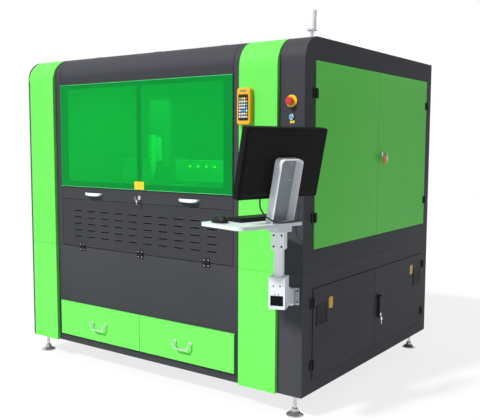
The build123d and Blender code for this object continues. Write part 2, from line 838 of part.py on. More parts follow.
# Pull handles on the rail: a lip on two ends, open above and below for the fingers
with BuildPart() as cover_handles:
    for side in (-1, 1):
        x = pane_mid + side * cover_handle_from_middle
        left = x - cover_handle_w / 2
        right = x + cover_handle_w / 2
        lip_y = y_front - pull_out
        with BuildSketch(Plane.XY.offset(cover_rail_z - pull_h / 2)):
            with BuildLine():
                Polyline(
                    (left, y_front),
                    (left, lip_y + pull_bevel),
                    (left + pull_bevel, lip_y),
                    (right - pull_bevel, lip_y),
                    (right, lip_y + pull_bevel),
                    (right, y_front),
                    (left, y_front),
                )
            make_face()
        extrude(amount=pull_h)
        block(
            left + pull_wall,
            right - pull_wall,
            lip_y + pull_wall,
            y_front,
            cover_rail_z - pull_h / 2,
            cover_rail_z + pull_h / 2,
            mode=Mode.SUBTRACT,
        )
cover_handles.part.label = "cover_handles"
export_step(cover_handles.part, "parts/cover_handles.step")

with BuildPart() as cover_key:
    lock_barrel(
        Plane(origin=(pane_mid, y_front, cover_rail_z), x_dir=(1, 0, 0), z_dir=(0, -1, 0)),
        sheet,
    )
cover_key.part.label = "cover_key"
export_step(cover_key.part, "parts/cover_key.step")

# Louvred flap: a shallow pan hinged along its lower edge, with pressed air slots
flap_z0 = seam_z + gap
flap_z1 = cover_z - gap / 2
with BuildPart() as louvre_flap:
    block(cover_x0, cover_x1, y_front, y_front + flap_depth, flap_z0, flap_z1)
    block(
        cover_x0 + sheet,
        cover_x1 - sheet,
        y_front + sheet,
        y_front + flap_depth,
        flap_z0 + sheet,
        flap_z1 - sheet,
        mode=Mode.SUBTRACT,
    )
    louvre_mid_z = louvre_top_z - (louvre_rows - 1) / 2 * louvre_pitch_z
    with BuildSketch(Plane(origin=(pane_mid, y_front, louvre_mid_z), x_dir=(1, 0, 0), z_dir=(0, -1, 0))):
        with GridLocations(louvre_pitch_x, louvre_pitch_z, louvre_cols, louvre_rows):
            Rectangle(louvre_w, louvre_h)
    extrude(amount=-sheet, mode=Mode.SUBTRACT)
    for place in flap_places:
        moving_leaf(place, 1)
louvre_flap.part.label = "louvre_flap"
export_step(louvre_flap.part, "parts/louvre_flap.step")


# Scrap drawers: an open box behind a thick folded front, with a wire pull
def drawer(x0, x1):
    """A drawer whose front spans x0 to x1."""
    with BuildPart() as body:
        block(x0, x1, y_front - drawer_front_t, y_front - gap / 2, drawer_z0, drawer_z1)
        bx0 = x0 + cutout_in + gap + slide_t
        bx1 = x1 - cutout_in - gap - slide_t
        by1 = y_front + drawer_box_d
        bz0 = drawer_z0 + cutout_in + gap
        block(bx0, bx1, y_front - gap / 2, by1, bz0, bz0 + drawer_box_h)
        block(
            bx0 + drawer_wall,
            bx1 - drawer_wall,
            y_front - gap / 2,
            by1 - drawer_wall,
            bz0 + drawer_wall,
            bz0 + drawer_box_h,
            mode=Mode.SUBTRACT,
        )
    return body.part


def drawer_handle(x):
    """A wire pull that hangs down from two round feet."""
    with BuildPart() as pull:
        face = y_front - drawer_front_t
        half = drawer_handle_w / 2
        with BuildLine() as path:
            Polyline(
                (x - half, face - foot_t, drawer_handle_z),
                (x - half, face - pull_off, drawer_handle_z - 4),
                (x - half + 16, face - pull_off, drawer_handle_z - pull_drop),
                (x + half - 16, face - pull_off, drawer_handle_z - pull_drop),
                (x + half, face - pull_off, drawer_handle_z - 4),
                (x + half, face - foot_t, drawer_handle_z),
            )
        with BuildSketch(Plane(origin=path.wire() @ 0, z_dir=path.wire() % 0)):
            Circle(handle_wire_r)
        sweep(transition=Transition.RIGHT)
        for side in (-1, 1):
            with BuildSketch(
                Plane(origin=(x + side * half, face, drawer_handle_z), x_dir=(1, 0, 0), z_dir=(0, -1, 0))
            ):
                Circle(2.4 * handle_wire_r)
            extrude(amount=foot_t + 1)
    return pull.part


drawer_seam = (drawer_x0 + drawer_x1) / 2
drawer_left = drawer(drawer_x0, drawer_seam - gap / 2)
drawer_left.label = "drawer_left"
export_step(drawer_left, "parts/drawer_left.step")

drawer_right = drawer(drawer_seam + gap / 2, drawer_x1)
drawer_right.label = "drawer_right"
export_step(drawer_right, "parts/drawer_right.step")

drawer_left_handle = drawer_handle(drawer_seam - drawer_handle_from_middle)
drawer_left_handle.label = "drawer_left_handle"
export_step(drawer_left_handle, "parts/drawer_left_handle.step")

drawer_right_handle = drawer_handle(drawer_seam + drawer_handle_from_middle)
drawer_right_handle.label = "drawer_right_handle"
export_step(drawer_right_handle, "parts/drawer_right_handle.step")

# Slide rails beside the drawer boxes, on brackets that stand on the base's floor
rail_z0 = drawer_z0 + cutout_in + gap
with BuildPart() as drawer_slides:
    for x0, x1 in ((drawer_x0, drawer_seam - gap / 2), (drawer_seam + gap / 2, drawer_x1)):
        for x in (x0 + cutout_in, x1 - cutout_in - slide_t):
            block(
                x,
                x + slide_t,
                y_front + sheet + tube + 2 * seam,
                y_front + drawer_box_d,
                rail_z0 + 30,
                rail_z0 + 76,
            )
            block(
                x,
                x + slide_t,
                y_front + drawer_box_d - tube,
                y_front + drawer_box_d,
                frame_z0,
                rail_z0 + 30,
            )
            block(
                x,
                x + slide_t,
                y_front + sheet + tube + 2 * seam,
                y_front + sheet + 2 * tube,
                frame_z0,
                rail_z0 + 30,
            )
drawer_slides.part.label = "drawer_slides"
export_step(drawer_slides.part, "parts/drawer_slides.step")

# Exhaust spigot on the back: a flange with a rolled collar
with BuildPart() as exhaust_spigot:
    with BuildSketch(Plane(origin=(cab_x, y_rear, spigot_z), x_dir=(-1, 0, 0), z_dir=(0, 1, 0))):
        Circle(spigot_r + 22)
        Circle(spigot_r - 1.5, mode=Mode.SUBTRACT)
    extrude(amount=2)
    with BuildSketch(Plane(origin=(cab_x, y_rear, spigot_z), x_dir=(-1, 0, 0), z_dir=(0, 1, 0))):
        Circle(spigot_r)
        Circle(spigot_r - 1.5, mode=Mode.SUBTRACT)
    extrude(amount=spigot_out)
exhaust_spigot.part.label = "exhaust_spigot"
export_step(exhaust_spigot.part, "parts/exhaust_spigot.step")

# Tower lamp: a footed pole and collar, and the lens with its cap
lamp_cx = x_right - lamp_x
lamp_cy = y_front + lamp_y
with BuildPart() as lamp_base:
    with BuildSketch(Plane(origin=(lamp_cx, lamp_cy, cab_h))):
        Circle(24)
    extrude(amount=4)
    with BuildSketch(Plane(origin=(lamp_cx, lamp_cy, cab_h + 4))):
        Circle(9)
    extrude(amount=lamp_base_h - 14)
    with BuildSketch(Plane(origin=(lamp_cx, lamp_cy, cab_h + lamp_base_h - 10))):
        Circle(lamp_r + 1)
    extrude(amount=10)
lamp_base.part.label = "lamp_base"
export_step(lamp_base.part, "parts/lamp_base.step")

with BuildPart() as lamp_lens:
    with BuildSketch(Plane(origin=(lamp_cx, lamp_cy, cab_h + lamp_base_h))):
        Circle(lamp_r)
    extrude(amount=lamp_lens_h)
    chamfer(lamp_lens.edges().group_by(Axis.Z)[-1], 4)
lamp_lens.part.label = "lamp_lens"
export_step(lamp_lens.part, "parts/lamp_lens.step")

# Controls on the band: fixed collars, and the two buttons that slide in them
def control_plane(z):
    """A plane on the band at a control's height, its Z pointing out to the front."""
    return Plane(origin=(band_mid, y_front, z), x_dir=(1, 0, 0), z_dir=(0, -1, 0))


estop_stem_r = estop_head_r / 2
with BuildPart() as button_collars:
    with BuildSketch(control_plane(estop_z)):
        Circle(estop_ring_r)
        Circle(estop_stem_r + run, mode=Mode.SUBTRACT)
    extrude(amount=collar_t)
    with BuildSketch(control_plane(estop_z)):
        Circle(estop_stem_r + 5)
        Circle(estop_stem_r + run, mode=Mode.SUBTRACT)
    extrude(amount=collar_neck)
    with BuildSketch(control_plane(start_z)):
        Circle(start_ring_r)
        Circle(start_head_r + run, mode=Mode.SUBTRACT)
    extrude(amount=collar_t)
button_collars.part.label = "button_collars"
export_step(button_collars.part, "parts/button_collars.step")

head_at = collar_neck + estop_travel + face_clear
with BuildPart() as estop_button:
    with BuildSketch(control_plane(estop_z).offset(-stem_inside)):
        Circle(estop_stem_r)
    extrude(amount=stem_inside + head_at)
    with BuildSketch(control_plane(estop_z).offset(head_at)):
        Circle(estop_head_r)
    extrude(amount=mushroom_t)
    chamfer(estop_button.edges().group_by(Axis.Y)[0], 4)
estop_button.part.label = "estop_button"
export_step(estop_button.part, "parts/estop_button.step")

with BuildPart() as start_button:
    with BuildSketch(control_plane(start_z).offset(-stem_inside)):
        Circle(start_head_r)
    extrude(amount=stem_inside + collar_t + start_travel)
    chamfer(start_button.edges().group_by(Axis.Y)[0], 1.5)
start_button.part.label = "start_button"
export_step(start_button.part, "parts/start_button.step")

# Remote pendant on the pillar, with a sunk keypad
pillar_face_y = y_front - pillar_proud
pendant_x = right_pillar_x + pendant_from_edge
pendant_plane = Plane(origin=(pendant_x, pillar_face_y, pendant_z), x_dir=(1, 0, 0), z_dir=(0, -1, 0))
with BuildPart() as pendant:
    with BuildSketch(pendant_plane):
        RectangleRounded(pendant_w, pendant_h, 14)
    extrude(amount=pendant_t)
    chamfer(pendant.faces().sort_by(Axis.Y)[0].edges(), 4)
    with BuildSketch(pendant_plane.offset(pendant_t)):
        with Locations((0, -6)):
            RectangleRounded(pendant_w - 20, pendant_h - 48, 4)
    extrude(amount=-2, mode=Mode.SUBTRACT)
pendant.part.label = "pendant"
export_step(pendant.part, "parts/pendant.step")

# Workstation arm: a wall plate with a hinge pin between two lugs
arm_x = x_right - arm_in
arm_y = y_front - arm_out
arm_dir = (sin(radians(arm_lean)), -cos(radians(arm_lean)), 0)
arm_plane = Plane(origin=(arm_x, arm_y, 0), x_dir=arm_dir, z_dir=(0, 0, 1))
with BuildPart() as arm_wall_plate:
    block(
        arm_x - wall_plate_w / 2,
        arm_x + wall_plate_w / 2,
        y_front - wall_plate_t,
        y_front,
        arm_z - lug_t,
        arm_z + arm_h + lug_t,
    )
    for z0 in (arm_z - lug_t, arm_z + arm_h + face_clear):
        with BuildSketch(Plane.XY.offset(z0)):
            with Locations((arm_x, arm_y)):
                Circle(barrel_out_r)
            with Locations((arm_x, (arm_y + y_front) / 2)):
                Rectangle(2 * barrel_out_r, arm_out)
        extrude(amount=lug_t - face_clear)
    with BuildSketch(Plane.XY.offset(arm_z - lug_t)):
        with Locations((arm_x, arm_y)):
            Circle(arm_pin_r)
    extrude(amount=arm_h + 2 * lug_t)
    with BuildSketch(Plane(origin=(arm_x, y_front, arm_z + arm_h / 2), x_dir=(1, 0, 0), z_dir=(0, -1, 0))):
        with GridLocations(wall_plate_w - 16, arm_h - 10, 2, 2):
            Circle(wall_hole_r)
    extrude(amount=wall_plate_t, mode=Mode.SUBTRACT)
arm_wall_plate.part.label = "arm_wall_plate"
export_step(arm_wall_plate.part, "parts/arm_wall_plate.step")

# The arm: a barrel on the pin, a tapered web and a square socket for the post
arm_side = Plane(origin=(arm_x, arm_y, 0), x_dir=arm_dir, z_dir=Vector(*arm_dir).cross(Vector(0, 0, 1)))
with BuildPart() as arm_beam:
    with BuildSketch(arm_plane.offset(arm_z + face_clear)):
        Circle(barrel_out_r)
    extrude(amount=arm_h - 2 * face_clear)
    with BuildSketch(arm_side):
        with BuildLine():
            Polyline(
                (0, arm_z + 2 * face_clear),
                (arm_len - socket_w / 2 + 1, socket_z0 + 4),
                (arm_len - socket_w / 2 + 1, socket_z1 - 30),
                (barrel_out_r + 8, arm_z + arm_h - 2 * face_clear),
                (0, arm_z + arm_h - 2 * face_clear),
                (0, arm_z + 2 * face_clear),
            )
        make_face()
    extrude(amount=arm_w / 2, both=True)
    with BuildSketch(arm_plane.offset(arm_z)):
        Circle(arm_pin_r + run)
    extrude(amount=arm_h, mode=Mode.SUBTRACT)
    with BuildSketch(arm_plane.offset(socket_z0)):
        with Locations((arm_len, 0)):
            Rectangle(socket_w, socket_w)
    extrude(amount=socket_z1 - socket_z0)
    with BuildSketch(arm_plane.offset(socket_z0)):
        with Locations((arm_len, 0)):
            Rectangle(socket_w - 2 * socket_wall, socket_w - 2 * socket_wall)
    extrude(amount=socket_foot, mode=Mode.SUBTRACT)
    with BuildSketch(arm_plane.offset(socket_z0)):
        with Locations((arm_len, 0)):
            Rectangle(post_w + 2 * run, post_w + 2 * run)
    extrude(amount=socket_z1 - socket_z0, mode=Mode.SUBTRACT)
    with BuildSketch(arm_plane.offset(socket_z0 + socket_rim)):
        with Locations((arm_len + socket_w / 2, 0)):
            Rectangle(socket_w, socket_w - 2 * socket_wall - 4)
    extrude(amount=socket_foot - socket_rim, mode=Mode.SUBTRACT)
arm_beam.part.label = "arm_beam"
export_step(arm_beam.part, "parts/arm_beam.step")

# The post stands in the socket and carries a clamp box with a spigot on top
post_foot_z = socket_z0 + socket_foot
post_x = arm_x + arm_len * arm_dir[0]
post_y = arm_y + arm_len * arm_dir[1]
with BuildPart() as post:
    with BuildSketch(arm_plane.offset(post_foot_z)):
        with Locations((arm_len, 0)):
            Rectangle(post_w, post_w)
    extrude(amount=clamp_z0 - post_foot_z)
    with BuildSketch(arm_plane.offset(clamp_z0)):
        with Locations((arm_len, 0)):
            Rectangle(clamp_w, clamp_w)
    extrude(amount=clamp_z1 - clamp_z0)
    with BuildSketch(arm_plane.offset(clamp_z1)):
        with Locations((arm_len, 0)):
            Circle(swivel_pin_r)
    extrude(amount=swivel_h - 4)
    with BuildSketch(
        Plane(
            origin=(post_x + arm_dir[0] * clamp_w / 2, post_y + arm_dir[1] * clamp_w / 2, (clamp_z0 + clamp_z1) / 2),
            x_dir=(-arm_dir[1], arm_dir[0], 0),
            z_dir=arm_dir,
        )
    ):
        with GridLocations(clamp_w - 24, clamp_z1 - clamp_z0 - 28, 2, 2):
            Circle(wall_hole_r)
    extrude(amount=-8, mode=Mode.SUBTRACT)
post.part.label = "post"
export_step(post.part, "parts/post.step")

# Tray on its swivel block: a folded sheet with round corners
head_plane = Plane(origin=(post_x, post_y, 0), x_dir=(turn_c, turn_s, 0), z_dir=(0, 0, 1))
tray_mid = ((tray_far - tray_near) / 2, (tray_ahead - tray_back) / 2)
tray_l = tray_near + tray_far
tray_w = tray_back + tray_ahead
block_z0 = clamp_z1 + face_clear
with BuildPart() as tray:
    with BuildSketch(head_plane.offset(tray_z - tray_lip)):
        with Locations(tray_mid):
            RectangleRounded(tray_l, tray_w, tray_corner_r)
    extrude(amount=tray_lip)
    with BuildSketch(head_plane.offset(tray_z - tray_lip)):
        with Locations(tray_mid):
            RectangleRounded(tray_l - 2 * tray_sheet, tray_w - 2 * tray_sheet, tray_corner_r - tray_sheet)
    extrude(amount=tray_lip - tray_sheet, mode=Mode.SUBTRACT)
    with BuildSketch(head_plane.offset(block_z0)):
        Rectangle(swivel_w, swivel_w)
    extrude(amount=tray_z - tray_sheet - block_z0)
    with BuildSketch(head_plane.offset(block_z0)):
        Circle(swivel_pin_r + run)
    extrude(amount=swivel_h - 3, mode=Mode.SUBTRACT)
tray.part.label = "tray"
export_step(tray.part, "parts/tray.step")

# Leaning channel behind the monitor: local Y up its length, local Z to the back
back_plane = Plane(
    origin=head_plane.from_local_coords((0, channel_foot, tray_z)),
    x_dir=(turn_c, turn_s, 0),
    z_dir=(turn_s * lean_c, -turn_c * lean_c, -lean_s),
)
with BuildPart() as monitor_channel:
    with BuildSketch(back_plane):
        with Locations((0, channel_len / 2 - channel_flange / 2)):
            RectangleRounded(channel_w, channel_len + channel_flange, 20)
    extrude(amount=channel_flange)
    with BuildSketch(back_plane.offset(channel_t)):
        with Locations((0, channel_len / 2 - channel_flange / 2)):
            RectangleRounded(
                channel_w - 2 * channel_t, channel_len + channel_flange - 2 * channel_t, 20 - channel_t
            )
    extrude(amount=channel_flange, mode=Mode.SUBTRACT)
    with BuildSketch(head_plane.offset(tray_z)):
        Rectangle(4 * channel_w, 4 * channel_w)
    extrude(amount=-4 * channel_flange, mode=Mode.SUBTRACT)
    with BuildSketch(back_plane):
        with Locations((0, vesa_y)):
            with GridLocations(vesa, vesa, 2, 2):
                Circle(wall_hole_r / 2)
    extrude(amount=channel_t, mode=Mode.SUBTRACT)
monitor_channel.part.label = "monitor_channel"
export_step(monitor_channel.part, "parts/monitor_channel.step")

monitor_mid_y = monitor_low + monitor_h / 2
with BuildPart() as monitor:
    with BuildSketch(back_plane.offset(-monitor_t)):
        with Locations((0, monitor_mid_y)):
            RectangleRounded(monitor_w, monitor_h, 6)
    extrude(amount=monitor_t - monitor_bulge)
    with BuildSketch(back_plane.offset(-monitor_bulge)):
        with Locations((0, monitor_mid_y)):
            RectangleRounded(monitor_w - 24, monitor_h - 24, 12)
    extrude(amount=monitor_bulge, taper=45)
    with BuildSketch(back_plane.offset(-monitor_t)):
        with Locations((0, monitor_mid_y + 3)):
            Rectangle(monitor_w - 16, monitor_h - 24)
    extrude(amount=1, mode=Mode.SUBTRACT)
monitor.part.label = "monitor"
export_step(monitor.part, "parts/monitor.step")

# Keyboard: a thin wedge with its rows of keys; the separate keys are surface detail
with BuildPart() as keyboard:
    with BuildSketch(head_plane.offset(tray_z)):
        with Locations(keyboard_at):
            RectangleRounded(keyboard_w, keyboard_d, 8)
    extrude(amount=keyboard_t)
    with BuildSketch(head_plane.offset(tray_z + keyboard_t)):
        with Locations(keyboard_at):
            with GridLocations(1, key_row_pitch, 1, key_rows):
                Rectangle(keyboard_w - 16, key_row_pitch - 3)
    extrude(amount=key_rise)
keyboard.part.label = "keyboard"
export_step(keyboard.part, "parts/keyboard.step")

# Mouse: a rounded body that tapers to its top
with BuildPart() as mouse:
    with BuildSketch(head_plane.offset(tray_z)):
        with Locations(mouse_at):
            RectangleRounded(mouse_w, mouse_l, mouse_w / 2 - 2)
    extrude(amount=mouse_h * 0.4)
    with BuildSketch(head_plane.offset(tray_z + mouse_h * 0.4)):
        with Locations(mouse_at):
            RectangleRounded(mouse_w, mouse_l, mouse_w / 2 - 2)
    extrude(amount=mouse_h * 0.6, taper=35)
mouse.part.label = "mouse"
export_step(mouse.part, "parts/mouse.step")


# Cords on the workstation, given in the tray's own directions and heights
def cord(points, diameter):
    """A cord's tube: straight runs joined by arcs as large as the runs allow."""
    spots = [head_plane.from_local_coords(p) for p in points]
    radii = []
    for before, here, after in zip(spots, spots[1:], spots[2:]):
        turn = radians((here - before).get_angle(after - here))
        radii.append(0.45 * min((here - before).length, (after - here).length) / tan(turn / 2))
    print("cord radii", [round(r, 1) for r in radii], "diameter", diameter)
    with BuildPart() as tube_of:
        with BuildLine() as path:
            FilletPolyline(*spots, radius=radii)
        with BuildSketch(Plane(origin=path.wire() @ 0, z_dir=path.wire() % 0)):
            Circle(diameter / 2)
        sweep()
    return tube_of.part


monitor_cable_path = [
    (-95, 22.9, 1138.9),
    (-95, 29.6, 1109),
    (-91, 17, 1079),
    (-88, -9, 1056),
    (-66, -36, 1036),
    (-34, -39, 1031),
    (4, -34, 1029),
    (42, -36, 1030),
    (80, -33, 1031),
    (117, -31, 1035),
    (150, -29, 1018),
    (165, -28, 983),
    (153, -27, 947),
    (120, -26, 929),
    (91, -25, 951),
    (82, -24, 985),
    (81, -23, tray_z - tray_sheet - 0.6),
]
monitor_cable = cord(monitor_cable_path, cable_d)
monitor_cable.label = "monitor_cable"
export_step(monitor_cable, "parts/monitor_cable.step")

keyboard_lead_path = [
    (channel_w / 2 + 1, -14, 1100),
    (88, -14, 1108),
    (106, -15, 1094),
    (110, -16, 1068),
    (100, -17, 1044),
    (98, -17, tray_z + 0.3),
]
keyboard_lead = cord(keyboard_lead_path, lead_d)
keyboard_lead.label = "keyboard_lead"
export_step(keyboard_lead, "parts/keyboard_lead.step")

# Bulkhead between the work chamber and the compartment behind the doors
bulkhead_x0 = x_right - bulkhead_x
with BuildPart() as bulkhead:
    with BuildSketch(Plane.YZ.offset(bulkhead_x0)):
        with BuildLine():
            Line((y_front + sheet, frame_top), (y_front + sheet, cab_h - corner_r))
            TangentArc(
                (y_front + sheet, cab_h - corner_r), (y_front + corner_r, cab_h - sheet), tangent=(0, 1)
            )
            Polyline(
                (y_front + corner_r, cab_h - sheet),
                (y_rear - sheet, cab_h - sheet),
                (y_rear - sheet, frame_top),
                (y_front + sheet, frame_top),
            )
        make_face()
    extrude(amount=sheet)
bulkhead.part.label = "bulkhead"
export_step(bulkhead.part, "parts/bulkhead.step")

# Electrical panel: a mounting plate with its drives, supplies and wire ducts
panel_x = bulkhead_x0 + sheet
panel_face = panel_x + panel_gap
panel_y0 = y_front + panel_from_front
panel_y1 = panel_y0 + panel_w
with BuildPart() as electrical_panel:
    block(panel_face, panel_face + sheet, panel_y0, panel_y1, panel_z0, panel_z1)
    for y in (panel_y0 + 30, panel_y1 - 60):
        for z in (panel_z0 + 30, panel_z1 - 60):
            block(panel_x, panel_face, y, y + 30, z, z + 30)
    for z in duct_zs:
        block(panel_face + sheet, panel_face + sheet + 60, panel_y0 + 20, panel_y1 - 20, z, z + 40)
    for row_z, row_h, depth, widths in panel_rows:
        y = panel_y0 + 40
        for w in widths:
            block(panel_face + sheet, panel_face + depth, y, y + w, row_z, row_z + row_h)
            y += w + 18
electrical_panel.part.label = "electrical_panel"
export_step(electrical_panel.part, "parts/electrical_panel.step")

# Laser source and water chiller stand on the lower rails behind the lower doors
box_x0 = x_right - cabinet_box_x
box_x1 = box_x0 + cabinet_box_w
box_z0 = frame_z0 + tube
laser_y0 = y_front + laser_y
with BuildPart() as laser_source:
    block(box_x0, box_x1, laser_y0, laser_y0 + laser_d, box_z0, box_z0 + laser_h)
    for y in (laser_y0 + 60, laser_y0 + laser_d - 60):
        block(box_x1, box_x1 + 8, y - 10, y + 10, box_z0 + 40, box_z0 + laser_h - 40)
    block(
        box_x1 - 4,
        box_x1,
        laser_y0 + 110,
        laser_y0 + laser_d - 110,
        box_z0 + 60,
        box_z0 + laser_h - 60,
        mode=Mode.SUBTRACT,
    )
laser_source.part.label = "laser_source"
export_step(laser_source.part, "parts/laser_source.step")

chiller_y0 = y_front + chiller_y
chiller_cap_r = 28.0
with BuildPart() as water_chiller:
    block(box_x0, box_x1, chiller_y0, chiller_y0 + chiller_d, box_z0, box_z0 + chiller_h)
    with BuildSketch(
        Plane(
            origin=(box_x1, chiller_y0 + chiller_d / 2, box_z0 + chiller_h / 2),
            x_dir=(0, 1, 0),
            z_dir=(1, 0, 0),
        )
    ):
        with Locations((-chiller_d / 4, 0), (chiller_d / 4, 0)):
            Circle(fan_r)
    extrude(amount=-fan_in, mode=Mode.SUBTRACT)
    with BuildSketch(Plane.XY.offset(box_z0 + chiller_h)):
        with Locations((box_x1 - 70, chiller_y0 + 80)):
            Circle(chiller_cap_r)
    extrude(amount=20)
water_chiller.part.label = "water_chiller"
export_step(water_chiller.part, "parts/water_chiller.step")

# Bed: cross beams on the base's top rails, with two side beams along them
bed_z1 = frame_top + cross_h + bed_beam_h
left_beam_x = x_left + bed_left
right_beam_x = x_right - bed_right - bed_beam_w
bed_y0 = y_front + bed_front
with BuildPart() as bed_frame:
    for y in cross_ys:
        block(
            x_left + sheet + seam,
            x_right - cross_end,
            y_front + y - cross_w / 2,
            y_front + y + cross_w / 2,
            frame_top,
            frame_top + cross_h,
        )
    for x in (left_beam_x, right_beam_x):
        block(x, x + bed_beam_w, bed_y0, bed_y0 + bed_length, frame_top + cross_h, bed_z1)
bed_frame.part.label = "bed_frame"
export_step(bed_frame.part, "parts/bed_frame.step")

# Linear rails, one along each side beam
rail_top = bed_z1 + rail_h
rail_xs = (left_beam_x + bed_beam_w / 2, right_beam_x + bed_beam_w / 2)
with BuildPart() as linear_rails:
    for x in rail_xs:
        block(x - rail_w / 2, x + rail_w / 2, bed_y0, bed_y0 + bed_length, bed_z1, rail_top)
linear_rails.part.label = "linear_rails"
export_step(linear_rails.part, "parts/linear_rails.step")

# Slat table: a frame bolted between the side beams, and the toothed slats that stand on it
table_x0 = left_beam_x + bed_beam_w
table_x1 = right_beam_x
table_y0 = y_front + table_front
table_y1 = table_y0 + table_d
table_z1 = slat_top_z - slat_above
with BuildPart() as slat_frame:
    block(table_x0, table_x1, table_y0, table_y1, table_z1 - table_h, table_z1)
    block(
        table_x0 + table_bar,
        table_x1 - table_bar,
        table_y0 + table_bar,
        table_y1 - table_bar,
        table_z1 - table_h,
        table_z1,
        mode=Mode.SUBTRACT,
    )
slat_frame.part.label = "slat_frame"
export_step(slat_frame.part, "parts/slat_frame.step")

slat_end = 6.0
slat_x0 = table_x0 + slat_end
slat_x1 = table_x1 - slat_end
tooth_n = int((slat_x1 - slat_x0) / tooth_pitch)
tooth_x0 = (slat_x0 + slat_x1 - tooth_n * tooth_pitch) / 2
slat_outline = [(slat_x0, table_z1), (slat_x0, slat_top_z - tooth_h)]
for i in range(tooth_n):
    slat_outline.append((tooth_x0 + i * tooth_pitch + 8, slat_top_z - tooth_h))
    slat_outline.append((tooth_x0 + (i + 0.5) * tooth_pitch, slat_top_z))
slat_outline.append((tooth_x0 + tooth_n * tooth_pitch, slat_top_z - tooth_h))
slat_outline.append((slat_x1, slat_top_z - tooth_h))
slat_outline.append((slat_x1, table_z1))
slat_outline.append((table_x1 - table_bar - 1, table_z1))
slat_outline.append((table_x1 - table_bar - 1, slat_top_z - slat_h))
slat_outline.append((table_x0 + table_bar + 1, slat_top_z - slat_h))
slat_outline.append((table_x0 + table_bar + 1, table_z1))
slat_outline.append((slat_x0, table_z1))
first_slat = (table_y0 + table_y1 - (slat_n - 1) * slat_pitch) / 2
with BuildPart() as support_slats:
    with BuildSketch(Plane.XZ.offset(-first_slat)):
        with BuildLine():
            Polyline(*slat_outline)
        make_face()
    extrude(amount=slat_t / 2, both=True)
    with Locations(*[(0, i * slat_pitch, 0) for i in range(1, slat_n)]):
        add(support_slats.part)
support_slats.part.label = "support_slats"
export_step(support_slats.part, "parts/support_slats.step")

# Scrap chute: sloping plates that lead down from under the slats to the drawers
chute_x0 = table_x0 + 2
chute_x1 = table_x1 - 2
with BuildPart() as scrap_chute:
    for top_y, low_y in ((chute_rear_top, chute_rear_low), (chute_front_top, chute_front_low)):
        with BuildSketch(Plane.YZ.offset(chute_x0)):
            with BuildLine():
                Polyline(
                    (y_front + top_y, chute_z1),
                    (y_front + low_y, chute_z0),
                    (y_front + low_y + sheet, chute_z0),
                    (y_front + top_y + sheet, chute_z1),
                    (y_front + top_y, chute_z1),
                )
            make_face()
        extrude(amount=chute_x1 - chute_x0)
    for x in (chute_x0 + 40, chute_x1 - 40 - sheet):
        block(
            x,
            x + sheet,
            y_front + chute_side_y0,
            y_front + chute_side_y1,
            chute_z0,
            frame_top - tube - seam,
        )
scrap_chute.part.label = "scrap_chute"
export_step(scrap_chute.part, "parts/scrap_chute.step")

# Gantry: a truck round each rail, and the beam across them
truck_gap = 0.3
truck_z1 = rail_top + truck_gap + truck_h
gantry_mid_y = y_front + gantry_y
with BuildPart() as gantry_trucks:
    for x in rail_xs:
        block(
            x - truck_w / 2,
            x + truck_w / 2,
            gantry_mid_y - truck_l / 2,
            gantry_mid_y + truck_l / 2,
            rail_top - truck_skirt,
            truck_z1,
        )
        block(
            x - rail_w / 2 - truck_gap,
            x + rail_w / 2 + truck_gap,
            gantry_mid_y - truck_l / 2,
            gantry_mid_y + truck_l / 2,
            rail_top - truck_skirt,
            rail_top + truck_gap,
            mode=Mode.SUBTRACT,
        )
gantry_trucks.part.label = "gantry_trucks"
export_step(gantry_trucks.part, "parts/gantry_trucks.step")

beam_y0 = gantry_mid_y - beam_d / 2
beam_z1 = truck_z1 + beam_h
beam_over = 50.0  # the beam's ends past the rails' centres
with BuildPart() as gantry_beam:
    block(
        rail_xs[0] - beam_over,
        rail_xs[1] + beam_over,
        beam_y0,
        beam_y0 + beam_d,
        truck_z1,
        beam_z1,
    )
gantry_beam.part.label = "gantry_beam"
export_step(gantry_beam.part, "parts/gantry_beam.step")

# Carriage: a saddle in front of the beam and over it, with the upright housing of the head's slide
carriage_x = x_left + head_x
saddle_y1 = beam_y0 - slide_gap
saddle_y0 = saddle_y1 - saddle_t
housing_y0 = saddle_y0 - z_box_d
housing_z0 = beam_z1 - 35
with BuildPart() as carriage:
    block(
        carriage_x - saddle_w / 2,
        carriage_x + saddle_w / 2,
        saddle_y0,
        saddle_y1,
        truck_z1 + 2,
        beam_z1 + slide_gap + saddle_t,
    )
    block(
        carriage_x - saddle_w / 2,
        carriage_x + saddle_w / 2,
        saddle_y1,
        beam_y0 + beam_d,
        beam_z1 + slide_gap,
        beam_z1 + slide_gap + saddle_t,
    )
    block(
        carriage_x - z_box_w / 2,
        carriage_x + z_box_w / 2,
        housing_y0,
        saddle_y0,
        housing_z0,
        housing_z0 + z_box_h,
    )
carriage.part.label = "carriage"
export_step(carriage.part, "parts/carriage.step")

